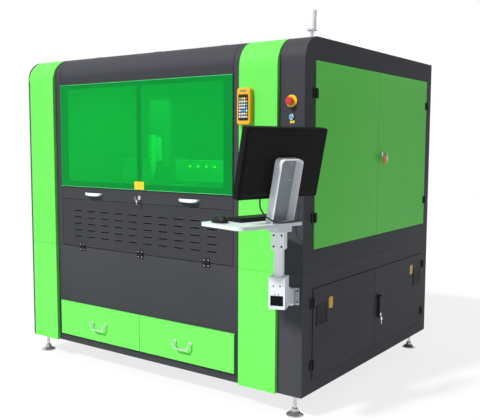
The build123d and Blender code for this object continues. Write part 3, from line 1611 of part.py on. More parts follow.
# Cutting head: a turned body that ends in a nozzle, on the plate that slides along the housing
head_y = housing_y0 - slide_gap - head_plate_t - head_r
with BuildPart() as cutting_head:
    with BuildSketch(Plane(origin=(carriage_x, head_y, 0), x_dir=(1, 0, 0), z_dir=(0, -1, 0))):
        with BuildLine():
            Polyline(
                (0, nozzle_tip_z),
                (2, nozzle_tip_z),
                (nozzle_r, nozzle_tip_z + 18),
                (nozzle_r, nozzle_tip_z + 36),
                (head_r - 8, nozzle_tip_z + 36),
                (head_r - 8, nozzle_tip_z + 80),
                (head_r, nozzle_tip_z + 80),
                (head_r, nozzle_tip_z + head_body_h),
                (0, nozzle_tip_z + head_body_h),
                (0, nozzle_tip_z),
            )
        make_face()
    revolve(axis=Axis((carriage_x, head_y, 0), (0, 0, 1)))
    block(
        carriage_x - head_plate_w / 2,
        carriage_x + head_plate_w / 2,
        housing_y0 - slide_gap - head_plate_t,
        housing_y0 - slide_gap,
        nozzle_tip_z + 110,
        nozzle_tip_z + head_body_h - 15,
    )
    block(
        carriage_x - head_r + 4,
        carriage_x + head_r - 4,
        head_y,
        housing_y0 - slide_gap - head_plate_t,
        nozzle_tip_z + 130,
        nozzle_tip_z + head_body_h - 40,
    )
cutting_head.part.label = "cutting_head"
export_step(cutting_head.part, "parts/cutting_head.step")
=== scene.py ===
import json
from math import cos, pi, radians, sin

import bmesh
import bpy
from mathutils import Matrix, Vector


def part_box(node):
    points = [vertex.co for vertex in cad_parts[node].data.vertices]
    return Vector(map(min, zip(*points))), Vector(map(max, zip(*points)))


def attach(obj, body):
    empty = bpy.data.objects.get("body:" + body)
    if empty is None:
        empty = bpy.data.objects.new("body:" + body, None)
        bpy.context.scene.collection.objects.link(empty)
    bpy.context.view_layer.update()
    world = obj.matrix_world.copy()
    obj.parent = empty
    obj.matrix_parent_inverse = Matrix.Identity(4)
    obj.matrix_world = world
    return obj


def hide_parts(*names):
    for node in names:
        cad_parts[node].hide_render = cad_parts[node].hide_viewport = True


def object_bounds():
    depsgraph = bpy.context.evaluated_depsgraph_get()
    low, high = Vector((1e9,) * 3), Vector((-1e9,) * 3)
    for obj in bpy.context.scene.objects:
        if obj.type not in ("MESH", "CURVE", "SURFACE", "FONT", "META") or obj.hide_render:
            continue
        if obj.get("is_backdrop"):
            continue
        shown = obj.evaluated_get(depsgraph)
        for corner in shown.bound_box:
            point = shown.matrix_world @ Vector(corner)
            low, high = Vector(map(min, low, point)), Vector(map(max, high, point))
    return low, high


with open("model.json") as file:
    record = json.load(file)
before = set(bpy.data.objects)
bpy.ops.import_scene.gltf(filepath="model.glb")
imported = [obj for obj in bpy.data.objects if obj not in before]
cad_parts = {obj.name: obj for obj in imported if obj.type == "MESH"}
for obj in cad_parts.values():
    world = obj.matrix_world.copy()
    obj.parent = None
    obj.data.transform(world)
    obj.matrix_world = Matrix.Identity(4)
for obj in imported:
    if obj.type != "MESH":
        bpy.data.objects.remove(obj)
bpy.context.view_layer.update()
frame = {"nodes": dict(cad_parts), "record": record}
joints = {j["name"]: j for j in frame["record"]["behaviour"]["joints"]}

MM = 0.001

# The workstation's own directions, as in the source: its head turns about the post,
# and the monitor and its channel lean back
TRAY_TURN = radians(75.6)
BACK_LEAN = radians(12.6)
TRAY_TOP = 1025 * MM
CHANNEL_FOOT = 22 * MM
post_axis = Vector(joints["tray_swivel"]["pos_m"])
HEAD = Matrix.Translation((post_axis.x, post_axis.y, 0)) @ Matrix.Rotation(TRAY_TURN, 4, "Z")
lean_axes = Matrix((
    (1, 0, 0, 0),
    (0, -sin(BACK_LEAN), -cos(BACK_LEAN), 0),
    (0, cos(BACK_LEAN), -sin(BACK_LEAN), 0),
    (0, 0, 0, 1),
))
BACK = HEAD @ Matrix.Translation((0, CHANNEL_FOOT, TRAY_TOP)) @ lean_axes

# Places read from the CAD nodes
pane_low, pane_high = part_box("window_panes")
flap_low, flap_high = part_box("louvre_flap")
pane_mid = (pane_low.x + pane_high.x) / 2
front_y = pane_high.y
DOOR_OUT = 3 * MM
door_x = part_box("right_side_panel")[1].x + DOOR_OUT


# Materials
WEAR_FROM, WEAR_TO = 0.56, 0.68  # pointiness where an edge starts to wear, and where it is worn
ROUGH_SPREAD = 0.06
GRAIN_HEIGHT = 0.0004


def ramp_mix(nodes, links, factor, dark, light):
    mix = nodes.new("ShaderNodeMix")
    mix.data_type = "RGBA"
    mix.inputs["A"].default_value = (*dark, 1)
    mix.inputs["B"].default_value = (*light, 1)
    links.new(factor, mix.inputs["Factor"])
    return mix.outputs["Result"]


def noise(nodes, links, coords, scale, detail=3.0, rough=0.5):
    tex = nodes.new("ShaderNodeTexNoise")
    tex.inputs["Scale"].default_value = scale
    tex.inputs["Detail"].default_value = detail
    tex.inputs["Roughness"].default_value = rough
    links.new(coords, tex.inputs["Vector"])
    return tex.outputs["Fac"]


def new_material(name):
    made = bpy.data.materials.new(name)
    made.use_nodes = True
    nodes, links = made.node_tree.nodes, made.node_tree.links
    shader = nodes["Principled BSDF"]
    coords = nodes.new("ShaderNodeTexCoord").outputs["Object"]
    return made, nodes, links, shader, coords


def finish_material(
    name, colour, rough, metallic=0.0, vary=0.06, vary_scale=3.0, grain=900.0,
    bump=0.05, specular=0.5, stretch=None, coat=0.0, wear=0.0,
):
    """A surface with slow colour variation, a fine grain in gloss and height, and worn edges if asked."""
    made, nodes, links, shader, coords = new_material(name)
    if stretch:
        mapping = nodes.new("ShaderNodeMapping")
        mapping.inputs["Scale"].default_value = stretch
        links.new(coords, mapping.inputs["Vector"])
        coords = mapping.outputs["Vector"]
    slow = noise(nodes, links, coords, vary_scale)
    dark = tuple(c * (1 - vary) for c in colour)
    light = tuple(min(1, c * (1 + vary)) for c in colour)
    tone = ramp_mix(nodes, links, slow, dark, light)
    fine = noise(nodes, links, coords, grain, 2.0)
    if wear:
        geometry = nodes.new("ShaderNodeNewGeometry")
        edge = nodes.new("ShaderNodeMapRange")
        edge.inputs["From Min"].default_value = WEAR_FROM
        edge.inputs["From Max"].default_value = WEAR_TO
        edge.inputs["To Max"].default_value = wear
        links.new(geometry.outputs["Pointiness"], edge.inputs["Value"])
        worn = nodes.new("ShaderNodeMix")
        worn.data_type = "RGBA"
        worn.inputs["B"].default_value = (*[min(1, c * 1.6 + 0.03) for c in colour], 1)
        links.new(edge.outputs["Result"], worn.inputs["Factor"])
        links.new(tone, worn.inputs["A"])
        tone = worn.outputs["Result"]
    links.new(tone, shader.inputs["Base Color"])
    gloss = nodes.new("ShaderNodeMapRange")
    gloss.inputs["To Min"].default_value = max(0.02, rough - ROUGH_SPREAD)
    gloss.inputs["To Max"].default_value = min(1, rough + ROUGH_SPREAD)
    links.new(fine, gloss.inputs["Value"])
    links.new(gloss.outputs["Result"], shader.inputs["Roughness"])
    relief = nodes.new("ShaderNodeBump")
    relief.inputs["Strength"].default_value = bump
    relief.inputs["Distance"].default_value = GRAIN_HEIGHT
    links.new(fine, relief.inputs["Height"])
    links.new(relief.outputs["Normal"], shader.inputs["Normal"])
    shader.inputs["Metallic"].default_value = metallic
    shader.inputs["Specular IOR Level"].default_value = specular
    shader.inputs["Coat Weight"].default_value = coat
    return made


green = finish_material("green_powder", (0.132, 0.66, 0.086), 0.42, specular=0.12, bump=0.10, wear=0.3)
dark = finish_material(
    "dark_powder", (0.044, 0.044, 0.050), 0.50, specular=0.10, vary=0.10, bump=0.14, wear=0.3
)
frame_paint = finish_material("frame_paint", (0.10, 0.10, 0.11), 0.6, specular=0.3, vary=0.15, bump=0.1)
white = finish_material("white_powder", (0.74, 0.76, 0.80), 0.40, vary=0.03, bump=0.10, wear=0.1)
zinc = finish_material(
    "zinc_plate", (0.62, 0.66, 0.70), 0.34, metallic=0.55, vary=0.12, vary_scale=40, grain=400, bump=0.06
)
pale_zinc = finish_material(
    "pale_zinc", (0.92, 0.95, 0.95), 0.34, metallic=0.15, vary=0.06, vary_scale=40, grain=400, bump=0.06
)
channel_white = finish_material("channel_white", (0.93, 0.93, 0.94), 0.40, vary=0.03, bump=0.10)
# Grey that stands for the channel's web in shade: painted shade
channel_shade_grey = finish_material("channel_shade_grey", (0.30, 0.33, 0.34), 0.42, specular=0.3, vary=0.04, bump=0.08)
steel = finish_material(
    "brushed_steel", (0.55, 0.55, 0.56), 0.34, metallic=1.0, vary=0.10, vary_scale=30,
    grain=500, bump=0.10, stretch=(1, 1, 12),
)
chrome = finish_material("chrome", (0.80, 0.80, 0.82), 0.10, metallic=1.0, vary=0.04, bump=0.02)
aluminium = finish_material(
    "aluminium", (0.74, 0.75, 0.78), 0.32, metallic=0.85, vary=0.05, vary_scale=12, grain=700, bump=0.05
)
black = finish_material(
    "black_plastic", (0.010, 0.010, 0.011), 0.48, specular=0.2, bump=0.2, grain=1400, vary=0.2
)
housing_black = finish_material(
    "monitor_black", (0.0032, 0.0032, 0.0034), 0.60, specular=0.14, bump=0.18, grain=1800, vary=0.25
)
screen_black = finish_material("screen_black", (0.006, 0.006, 0.008), 0.12, specular=0.5, bump=0.01, vary=0.1)
grey_plastic = finish_material("grey_plastic", (0.16, 0.16, 0.17), 0.5, bump=0.15, grain=1200)
red = finish_material("red_gloss", (0.62, 0.012, 0.010), 0.22, coat=0.4, bump=0.02)
yellow = finish_material("yellow_gloss", (0.86, 0.56, 0.012), 0.34, coat=0.1, bump=0.04)
pendant_yellow = finish_material("pendant_yellow", (0.86, 0.42, 0.008), 0.42, bump=0.12, grain=1300)
blue = finish_material("blue_gloss", (0.03, 0.42, 0.72), 0.24, coat=0.4, bump=0.02)
key_white = finish_material("key_white", (0.78, 0.80, 0.82), 0.40, bump=0.04, vary=0.03)
amber = finish_material("amber_field", (0.82, 0.42, 0.015), 0.45, bump=0.03)
orange = finish_material("orange_tag", (0.80, 0.17, 0.012), 0.40, bump=0.05)
cord_black = finish_material("cord_jacket", (0.010, 0.010, 0.011), 0.42, bump=0.12, grain=1600, vary=0.15)
lens_clear = finish_material("lens_white", (0.93, 0.92, 0.93), 0.16, coat=0.6, bump=0.02, vary=0.04)
foot_metal = finish_material("foot_metal", (0.60, 0.61, 0.60), 0.22, metallic=0.85, vary=0.2, vary_scale=25)
carriage_grey = finish_material("carriage_grey", (0.07, 0.07, 0.075), 0.5, specular=0.3, bump=0.08)
pull_white = finish_material("polished_pull", (0.92, 0.93, 0.95), 0.26, metallic=0.35, vary=0.02, bump=0.01)
# Near black: the own colour of the screws and air slots, and painted shade on the louvre strips and in the
# socket's foot
black_and_painted_shade = finish_material("black_and_painted_shade", (0.006, 0.006, 0.007), 0.8, specular=0.1, bump=0.1)


def glowing(name, colour, strength):
    """A surface that also gives off its own colour, with the same slow variation."""
    made = finish_material(name, colour, 0.4, bump=0.03)
    shader = made.node_tree.nodes["Principled BSDF"]
    shader.inputs["Emission Color"].default_value = (*colour, 1)
    shader.inputs["Emission Strength"].default_value = strength
    return made


# Painted glow for the gantry's caps, which are no lamps
cap_painted_glow = glowing("cap_painted_glow", (1.0, 0.34, 0.015), 7.0)
TINT_SHARE = 0.42  # of the window's light, what its green body scatters


def window_material():
    """Tinted acrylic: part of the light passes through it and part scatters in its green body."""
    made, nodes, links, shader, coords = new_material("green_acrylic")
    slow = noise(nodes, links, coords, 1.3, 2.0)
    tone = ramp_mix(nodes, links, slow, (0.0015, 0.50, 0.064), (0.003, 0.58, 0.082))
    links.new(tone, shader.inputs["Base Color"])
    shader.inputs["Roughness"].default_value = 0.16
    shader.inputs["Specular IOR Level"].default_value = 0.18
    clear = nodes.new("ShaderNodeBsdfTransparent")
    clear.inputs["Color"].default_value = (0.12, 0.90, 0.30, 1)
    both = nodes.new("ShaderNodeMixShader")
    both.inputs["Fac"].default_value = TINT_SHARE
    links.new(clear.outputs["BSDF"], both.inputs[1])
    links.new(shader.outputs["BSDF"], both.inputs[2])
    links.new(both.outputs["Shader"], nodes["Material Output"].inputs["Surface"])
    return made


window = window_material()

node_materials = {
    green: [
        "left_pillar_covers", "right_pillar_covers", "upper_front_door", "upper_rear_door",
        "drawer_left", "drawer_right",
    ],
    dark: [
        "base_front_panel", "left_side_panels", "base_right_panel", "right_side_panel", "rear_panels",
        "roof_panel", "front_strips", "lower_front_door", "lower_rear_door", "cover_shell", "louvre_flap",
    ],
    frame_paint: ["base_frame", "bed_frame", "slat_frame"],
    white: ["arm_beam", "tray", "laser_source", "water_chiller"],
    channel_white: ["monitor_channel"],
    pale_zinc: ["post"],
    zinc: ["arm_wall_plate", "exhaust_spigot", "drawer_slides", "bulkhead", "scrap_chute"],
    steel: ["support_slats", "linear_rails", "gantry_trucks"],
    chrome: ["upper_key", "cover_key", "drawer_left_handle", "drawer_right_handle", "cover_handles"],
    aluminium: ["lamp_base", "gantry_beam", "cutting_head"],
    black: ["hinge_leaves", "lower_handle", "handle_hub", "keyboard", "mouse"],
    housing_black: ["monitor"],
    grey_plastic: ["electrical_panel"],
    carriage_grey: ["carriage"],
    red: ["estop_button"],
    yellow: ["button_collars"],
    pendant_yellow: ["pendant"],
    blue: ["start_button"],
    lens_clear: ["lamp_lens"],
    cord_black: ["monitor_cable", "keyboard_lead"],
    foot_metal: ["levelling_feet"],
    window: ["window_panes"],
}
for surface, names in node_materials.items():
    for node in names:
        slots = frame["nodes"][node].data.materials
        slots.clear()
        slots.append(surface)


# Camera, at the photograph's place
CAMERA_AT = (2.6702, -3.5013, 1.3785)
CAMERA_PAN = -0.62423
CAMERA_TILT = -0.09473
CAMERA_ROLL = 0.00384
FOCAL_PX = 698.4
IMAGE_PX = 480
forward = Vector((
    sin(CAMERA_PAN) * cos(CAMERA_TILT),
    cos(CAMERA_PAN) * cos(CAMERA_TILT),
    sin(CAMERA_TILT),
))
level_right = Vector((cos(CAMERA_PAN), -sin(CAMERA_PAN), 0))
level_up = level_right.cross(forward)
cam_right = level_right * cos(CAMERA_ROLL) + level_up * sin(CAMERA_ROLL)
cam_up = level_up * cos(CAMERA_ROLL) - level_right * sin(CAMERA_ROLL)
camera_data = bpy.data.cameras.new("camera")
camera_data.sensor_width = 36
camera_data.lens = FOCAL_PX / IMAGE_PX * camera_data.sensor_width
camera_data.clip_end = 100
camera = bpy.data.objects.new("camera", camera_data)
turned = Matrix((cam_right, cam_up, -forward)).transposed().to_4x4()
camera.matrix_world = Matrix.Translation(CAMERA_AT) @ turned
bpy.context.collection.objects.link(camera)
bpy.context.scene.camera = camera


# Mesh helpers
CORNER_ANGLE = radians(38)
WELD = 1e-6


def object_from(bm, name, surface, smooth=True, matrix=None):
    """Turns a bmesh into an object with one material. Vertices go where matrix puts them."""
    bmesh.ops.recalc_face_normals(bm, faces=bm.faces)
    mesh = bpy.data.meshes.new(name)
    bm.to_mesh(mesh)
    bm.free()
    if matrix is not None:
        mesh.transform(matrix)
    mesh.materials.append(surface)
    for face in mesh.polygons:
        face.use_smooth = smooth
    made = bpy.data.objects.new(name, mesh)
    bpy.context.collection.objects.link(made)
    if smooth:
        made.modifiers.new("corners", "EDGE_SPLIT").split_angle = CORNER_ANGLE
    return made


def merge(bm, part):
    """Moves a part's mesh into another bmesh."""
    holder = bpy.data.meshes.new("part")
    part.to_mesh(holder)
    part.free()
    bm.from_mesh(holder)
    bpy.data.meshes.remove(holder)


def add_block(bm, low, high, bevel=0.0, segments=2):
    """A block between two corners, with rounded edges.

    It is made by itself: after a bevel in a shared bmesh, the next faces' order varies from run to run.
    """
    block = bmesh.new()
    bmesh.ops.create_cube(block, size=1)
    middle = [(a + b) / 2 for a, b in zip(low, high)]
    size = [b - a for a, b in zip(low, high)]
    bmesh.ops.scale(block, vec=size, verts=block.verts)
    bmesh.ops.translate(block, vec=middle, verts=block.verts)
    if bevel:
        bmesh.ops.bevel(
            block, geom=block.edges[:], offset=bevel, segments=segments, affect="EDGES", profile=0.5
        )
    merge(bm, block)


def rounded_outline(width, height, radius, steps=6):
    """Points round a rectangle with round corners, about its middle."""
    points = []
    for quarter, (sx, sy) in enumerate(((1, 1), (-1, 1), (-1, -1), (1, -1))):
        for i in range(steps + 1):
            a = (quarter + i / steps) * pi / 2
            points.append((
                sx * (width / 2 - radius) + radius * cos(a),
                sy * (height / 2 - radius) + radius * sin(a),
            ))
    return points


def add_stack(bm, rings, closed_low=True, closed_high=True):
    """A skin through rings of equally many 3-D points, capped at its ends."""
    rows = [[bm.verts.new(p) for p in ring] for ring in rings]
    for low, high in zip(rows, rows[1:]):
        for i in range(len(low)):
            j = (i + 1) % len(low)
            bm.faces.new((low[i], low[j], high[j], high[i]))
    if closed_low:
        bm.faces.new(rows[0][::-1])
    if closed_high:
        bm.faces.new(rows[-1])


def add_loop(bm, rings):
    """A skin through rings that comes back to the first one."""
    add_stack(bm, [*rings, rings[0]], closed_low=False, closed_high=False)
    bmesh.ops.remove_doubles(bm, verts=bm.verts, dist=WELD)


def add_plate(bm, width, height, radius, z0, z1, edge=0.0005, at=(0, 0)):
    """A flat plate with round corners and softened rims, on the local XY plane."""
    rings = []
    for z, inset in ((z0, edge), (z0 + edge, 0), (z1 - edge, 0), (z1, edge)):
        outline = rounded_outline(width - 2 * inset, height - 2 * inset, max(radius - inset, 0.0002))
        rings.append([(x + at[0], y + at[1], z) for x, y in outline])
    add_stack(bm, rings)


def add_lathe(bm, profile, turns=32, at=(0, 0, 0)):
    """A turned form about local Z from (radius, height) pairs."""
    rings = []
    for r, z in profile:
        ring = []
        for i in range(turns):
            a = 2 * pi * i / turns
            ring.append((at[0] + r * cos(a), at[1] + r * sin(a), at[2] + z))
        rings.append(ring)
    add_stack(bm, rings)


def facing(place, out):
    """Local Z out of a surface at a place, local Y up, or to the back where the surface is level."""
    z = Vector(out).normalized()
    up = Vector((0, 0, 1)) if abs(z.z) < 0.9 else Vector((0, 1, 0))
    x = up.cross(z).normalized()
    y = z.cross(x)
    return Matrix.Translation(place) @ Matrix((x, y, z)).transposed().to_4x4()


FRONT = (0, -1, 0)
RIGHT = (1, 0, 0)
UP = (0, 0, 1)


def add_turned_ring(bm, profile, turns=40):
    """A ring about local Z, whose section is given as (radius, height) pairs in millimetres."""
    add_loop(bm, [
        [(r * MM * cos(2 * pi * i / turns), r * MM * sin(2 * pi * i / turns), z * MM) for i in range(turns)]
        for r, z in profile
    ])


def add_head(bm, place, out, profile, turns):
    """A screw's head that stands out of a surface at a place, from (radius, height) pairs."""
    plane = facing(place, out)
    angles = [2 * pi * i / turns for i in range(turns)]
    add_stack(bm, [[plane @ Vector((r * cos(a), r * sin(a), up)) for a in angles] for r, up in profile])


def soften(made, width):
    bevel = made.modifiers.new("soft", "BEVEL")
    bevel.width = width
    bevel.segments = 2


# Cords: the routes are the source's, in metres
def cord(name, points, diameter, material):
    curve = bpy.data.curves.new(name + "_curve", "CURVE")
    curve.dimensions = "3D"
    curve.bevel_depth = diameter / 2
    curve.bevel_resolution = 5
    curve.resolution_u = 10
    curve.use_fill_caps = True
    spline = curve.splines.new("NURBS")
    spline.points.add(len(points) - 1)
    for point, place in zip(spline.points, points):
        point.co = (*place, 1)
    spline.order_u = 3
    spline.use_endpoint_u = True
    curve.materials.append(material)
    made = bpy.data.objects.new(name + "_curve", curve)
    bpy.context.collection.objects.link(made)
    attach(made, "workstation")
    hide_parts(name)


def on_head(points):
    return [HEAD @ Vector((w * MM, n * MM, z * MM)) for w, n, z in points]


CABLE_D = 7 * MM
LEAD_D = 4.5 * MM
cable_route = on_head([
    (-95, 22.9, 1138.9),
    (-95, 29.6, 1109),
    (-91, 17, 1079),
    (-88, -9, 1056),
    (-66, -36, 1036),
    (-34, -39, 1031),
    (4, -34, 1029),
    (42, -36, 1030),
    (80, -33, 1031),
    (117, -31, 1035),
    (150, -29, 1018),
    (165, -28, 983),
    (153, -27, 947),
    (120, -26, 929),
    (91, -25, 951),
    (82, -24, 985),
    (81, -23, 1021.9),
])
cord("monitor_cable", cable_route, CABLE_D, cord_black)
lead_route = on_head([
    (66, -14, 1100),
    (88, -14, 1108),
    (106, -15, 1094),
    (110, -16, 1068),
    (100, -17, 1044),
    (98, -17, 1025.3),
])
cord("keyboard_lead", lead_route, LEAD_D, cord_black)


def place_piece(made, body, slot, *replaced):
    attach(made, body)
    if replaced:
        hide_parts(*replaced)
    return made


# Cover pulls: smooth bright lips that shrink towards their ends
PULL_W = 150 * MM
SHARE_W, SHARE_H = 0.94, 0.76  # of the CAD pull, as much as the photo shows
PULL_WALL = 4 * MM
PULL_ROUND = 1.5 * MM
PULL_STEPS = 28
pull_low, pull_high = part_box("cover_handles")
pull_out = front_y - pull_low.y
pull_h = pull_high.z - pull_low.z
bm = bmesh.new()
for x_mid in (pull_low.x + PULL_W / 2, pull_high.x - PULL_W / 2):
    rings = []
    for i in range(PULL_STEPS + 1):
        u = 2 * (i / PULL_STEPS) - 1
        end = (1 - abs(u) ** 8) ** 0.5
        x = x_mid + u * PULL_W / 2 * SHARE_W
        out = max(end, 0.02) * pull_out
        z_top = pull_high.z
        drop = SHARE_H * pull_h * (0.22 + 0.78 * (1 - abs(u) ** 3.2) ** 0.5)
        outer, inner = front_y - out, front_y - out + min(PULL_WALL, out * 0.9)
        rounded = outer + min(PULL_ROUND, out * 0.2)
        rings.append([
            (x, rounded, z_top - drop),
            (x, outer, z_top - drop * 0.72),
            (x, outer, z_top - drop * 0.12),
            (x, rounded, z_top),
            (x, inner, z_top - drop * 0.04),
            (x, inner, z_top - drop * 0.96),
        ])
    add_stack(bm, rings)
pulls = object_from(bm, "cover_pulls", pull_white)
soften(pulls, 0.8 * MM)
place_piece(pulls, "cover", "chrome", "cover_handles")

# Pressed hoods over the flap's slots, and dark strips behind them: painted shade that darkens the slots where
# only shade falls
LOUVRE_COLS, LOUVRE_ROWS = 10, 5
LOUVRE_PITCH_X, LOUVRE_PITCH_Z = 117 * MM, 40 * MM
LOUVRE_W, LOUVRE_H = 64 * MM, 7 * MM
LOUVRE_TOP_Z = 962 * MM
HOOD_OUT = 3.0 * MM
HOOD_RISE = 5.0 * MM
HOOD_SEAT = 0.2 * MM
HOOD_WALL = 1 * MM
STRIP_BACK, STRIP_T = 4.5 * MM, 1.5 * MM
STRIP_OVER, STRIP_REACH = 6 * MM, 11 * MM
flap_mid = (flap_low.x + flap_high.x) / 2
louvre_span = (LOUVRE_COLS - 1) * LOUVRE_PITCH_X + LOUVRE_W
hoods, strips = bmesh.new(), bmesh.new()
for row in range(LOUVRE_ROWS):
    z_mid = LOUVRE_TOP_Z - row * LOUVRE_PITCH_Z
    z_slot = z_mid + LOUVRE_H / 2
    # Each dark strip is painted shade behind a row of slots
    add_block(
        strips,
        (flap_mid - louvre_span / 2 - STRIP_OVER, front_y + STRIP_BACK, z_mid - STRIP_REACH),
        (flap_mid + louvre_span / 2 + STRIP_OVER, front_y + STRIP_BACK + STRIP_T, z_mid + STRIP_REACH),
        0.4 * MM,
    )
    for col in range(LOUVRE_COLS):
        x_mid = flap_mid + (col - (LOUVRE_COLS - 1) / 2) * LOUVRE_PITCH_X
        rings = []
        for i in range(11):
            u = i / 5 - 1
            rise = max((1 - abs(u) ** 5) ** 0.6, 0.06)
            x = x_mid + u * LOUVRE_W / 2
            rings.append([
                (x, front_y + HOOD_SEAT, z_slot + HOOD_RISE),
                (x, front_y - HOOD_OUT * rise * 0.6, z_slot + HOOD_RISE * 0.45),
                (x, front_y - HOOD_OUT * rise, z_slot + 1.0 * MM),
                (x, front_y - HOOD_OUT * rise, z_slot),
                (x, front_y - (HOOD_OUT - HOOD_WALL) * rise, z_slot),
                (x, front_y + HOOD_SEAT, z_slot + 1.2 * MM),
            ])
        add_stack(hoods, rings)
place_piece(object_from(hoods, "louvre_hoods", dark), "flap", "dark")
place_piece(object_from(strips, "louvre_shade_strips", black_and_painted_shade), "flap", "dark")

# Plain yellow field on the window, over the middle bar
FIELD_W, FIELD_H, FIELD_T = 75 * MM, 45 * MM, 0.6 * MM
bm = bmesh.new()
add_plate(bm, FIELD_W, FIELD_H, 3 * MM, 0.0, FIELD_T, 0.2 * MM)
field_at = (pane_mid + 2 * MM, pane_low.y, pane_low.z + 26 * MM)
place_piece(object_from(bm, "window_field", yellow, matrix=facing(field_at, FRONT)), "cover", "yellow")

# Slim bright trims along the panes' upper and lower rims
TRIM_H, TRIM_OUT, TRIM_IN = 2.2 * MM, 0.5 * MM, 1 * MM
HALF_GAP = 0.5 * MM
bm = bmesh.new()
for x0, x1 in ((pane_low.x, pane_mid - HALF_GAP), (pane_mid + HALF_GAP, pane_high.x)):
    for low, high in (
        ((x0, pane_low.y - TRIM_OUT, pane_low.z), (x1, pane_low.y + TRIM_IN, pane_low.z + TRIM_H)),
        ((x0, pane_low.y - TRIM_OUT, pane_high.z - TRIM_H), (x1, pane_low.y + TRIM_IN, pane_high.z)),
    ):
        add_block(bm, low, high, 0.3 * MM, 1)
trim_green = finish_material("pane_edge", (0.10, 0.72, 0.22), 0.2, coat=0.5, bump=0.02)
place_piece(object_from(bm, "pane_edges", trim_green), "cover", "window")

# Pendant: dark keypad with round blank keys, and a plain grey bar above it
pen_low, pen_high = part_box("pendant")
pen_mid = (pen_low + pen_high) / 2
pen_plane = facing((pen_mid.x, pen_low.y, pen_mid.z), FRONT)
bm = bmesh.new()
add_plate(bm, 58 * MM, 128 * MM, 4 * MM, -1.9 * MM, -0.4 * MM, 0.3 * MM, at=(0, -6 * MM))
place_piece(object_from(bm, "pendant_keypad", screen_black, matrix=pen_plane), "cabinet", "grey")
KEY_COLS, KEY_ROWS = 4, 7
KEY_PITCH_X, KEY_PITCH_Y = 13.6 * MM, 15.0 * MM
KEY_TOP_Y = 38 * MM
KEY_PROFILE = ((5.2 * MM, -0.6 * MM), (5.2 * MM, 0.6 * MM), (4.4 * MM, 1.2 * MM), (1 * MM, 1.5 * MM))
by_surface = {}
for row in range(KEY_ROWS):
    for col in range(KEY_COLS):
        surface = key_white
        if row == 0:
            surface = (green, yellow, key_white, red)[col]
        elif (row, col) in ((1, 3), (5, 3)):
            surface = yellow
        elif (row, col) in ((2, 3), (3, 3), (4, 1), (4, 2)):
            surface = blue
        x = (col - (KEY_COLS - 1) / 2) * KEY_PITCH_X
        y = KEY_TOP_Y - row * KEY_PITCH_Y
        if surface.name not in by_surface:
            by_surface[surface.name] = (surface, bmesh.new())
        add_lathe(by_surface[surface.name][1], KEY_PROFILE, turns=16, at=(x, y, 0))
for key_name, (surface, keys) in by_surface.items():
    made = object_from(keys, "pendant_keys_" + key_name, surface, matrix=pen_plane)
    place_piece(made, "cabinet", "grey")
bm = bmesh.new()
add_plate(bm, 36 * MM, 8 * MM, 2 * MM, -0.3 * MM, 0.4 * MM, 0.2 * MM, at=(0, 76 * MM))
place_piece(object_from(bm, "pendant_name_bar", grey_plastic, matrix=pen_plane), "cabinet", "grey")

# Emergency stop: a smooth mushroom with a waist, over the CAD button
stop_low, stop_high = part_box("estop_button")
stop_at = ((stop_low.x + stop_high.x) / 2, front_y, (stop_low.z + stop_high.z) / 2)
stop_reach = front_y - stop_low.y
bm = bmesh.new()
add_lathe(bm, (
    (10 * MM, -22 * MM),
    (10 * MM, stop_reach - 15 * MM),
    (18.6 * MM, stop_reach - 15 * MM),
    (19.8 * MM, stop_reach - 12 * MM),
    (19.8 * MM, stop_reach - 6 * MM),
    (18.4 * MM, stop_reach - 2.4 * MM),
    (14.5 * MM, stop_reach - 0.6 * MM),
    (8 * MM, stop_reach),
), turns=48)
stop_plane = facing(stop_at, FRONT)
place_piece(object_from(bm, "stop_mushroom", red, matrix=stop_plane), "estop_button", "red", "estop_button")
# Its small round cap, of the same red
bm = bmesh.new()
add_lathe(bm, (
    (6.2 * MM, stop_reach - 1.2 * MM),
    (6.2 * MM, stop_reach - 0.1 * MM),
    (5.0 * MM, stop_reach - 0.02 * MM),
), turns=32)
place_piece(object_from(bm, "stop_cap", red, matrix=stop_plane), "estop_button", "red")

# Start button: bright bezel and a blank yellow plate under it
start_low, start_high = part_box("start_button")
start_at = ((start_low.x + start_high.x) / 2, front_y, (start_low.z + start_high.z) / 2)
start_plane = facing(start_at, FRONT)
bm = bmesh.new()
add_turned_ring(bm, ((10.3, 5.0), (10.3, 6.2), (12.2, 6.6), (14.2, 5.4), (14.2, 5.0)))
place_piece(object_from(bm, "start_bezel", chrome, matrix=start_plane), "cabinet", "chrome")
bm = bmesh.new()
add_plate(bm, 26 * MM, 13 * MM, 2 * MM, 0.0, 1.2 * MM, 0.3 * MM)
plate_at = (start_at[0] + 3 * MM, front_y, start_at[2] - 23 * MM)
place_piece(object_from(bm, "start_plate", yellow, matrix=facing(plate_at, FRONT)), "cabinet", "yellow")

# The start button's ring is black
bm = bmesh.new()
add_turned_ring(bm, ((12.2, 4.9), (14.7, 4.9), (14.7, 0.0), (14.9, 0.0), (14.9, 5.3), (12.2, 5.3)))
place_piece(object_from(bm, "start_ring", black, matrix=start_plane), "cabinet", "black")


KEY_RING_R, KEY_RING_WIRE = 11 * MM, 0.9 * MM
KEY_RING_STEPS, WIRE_STEPS = 28, 8


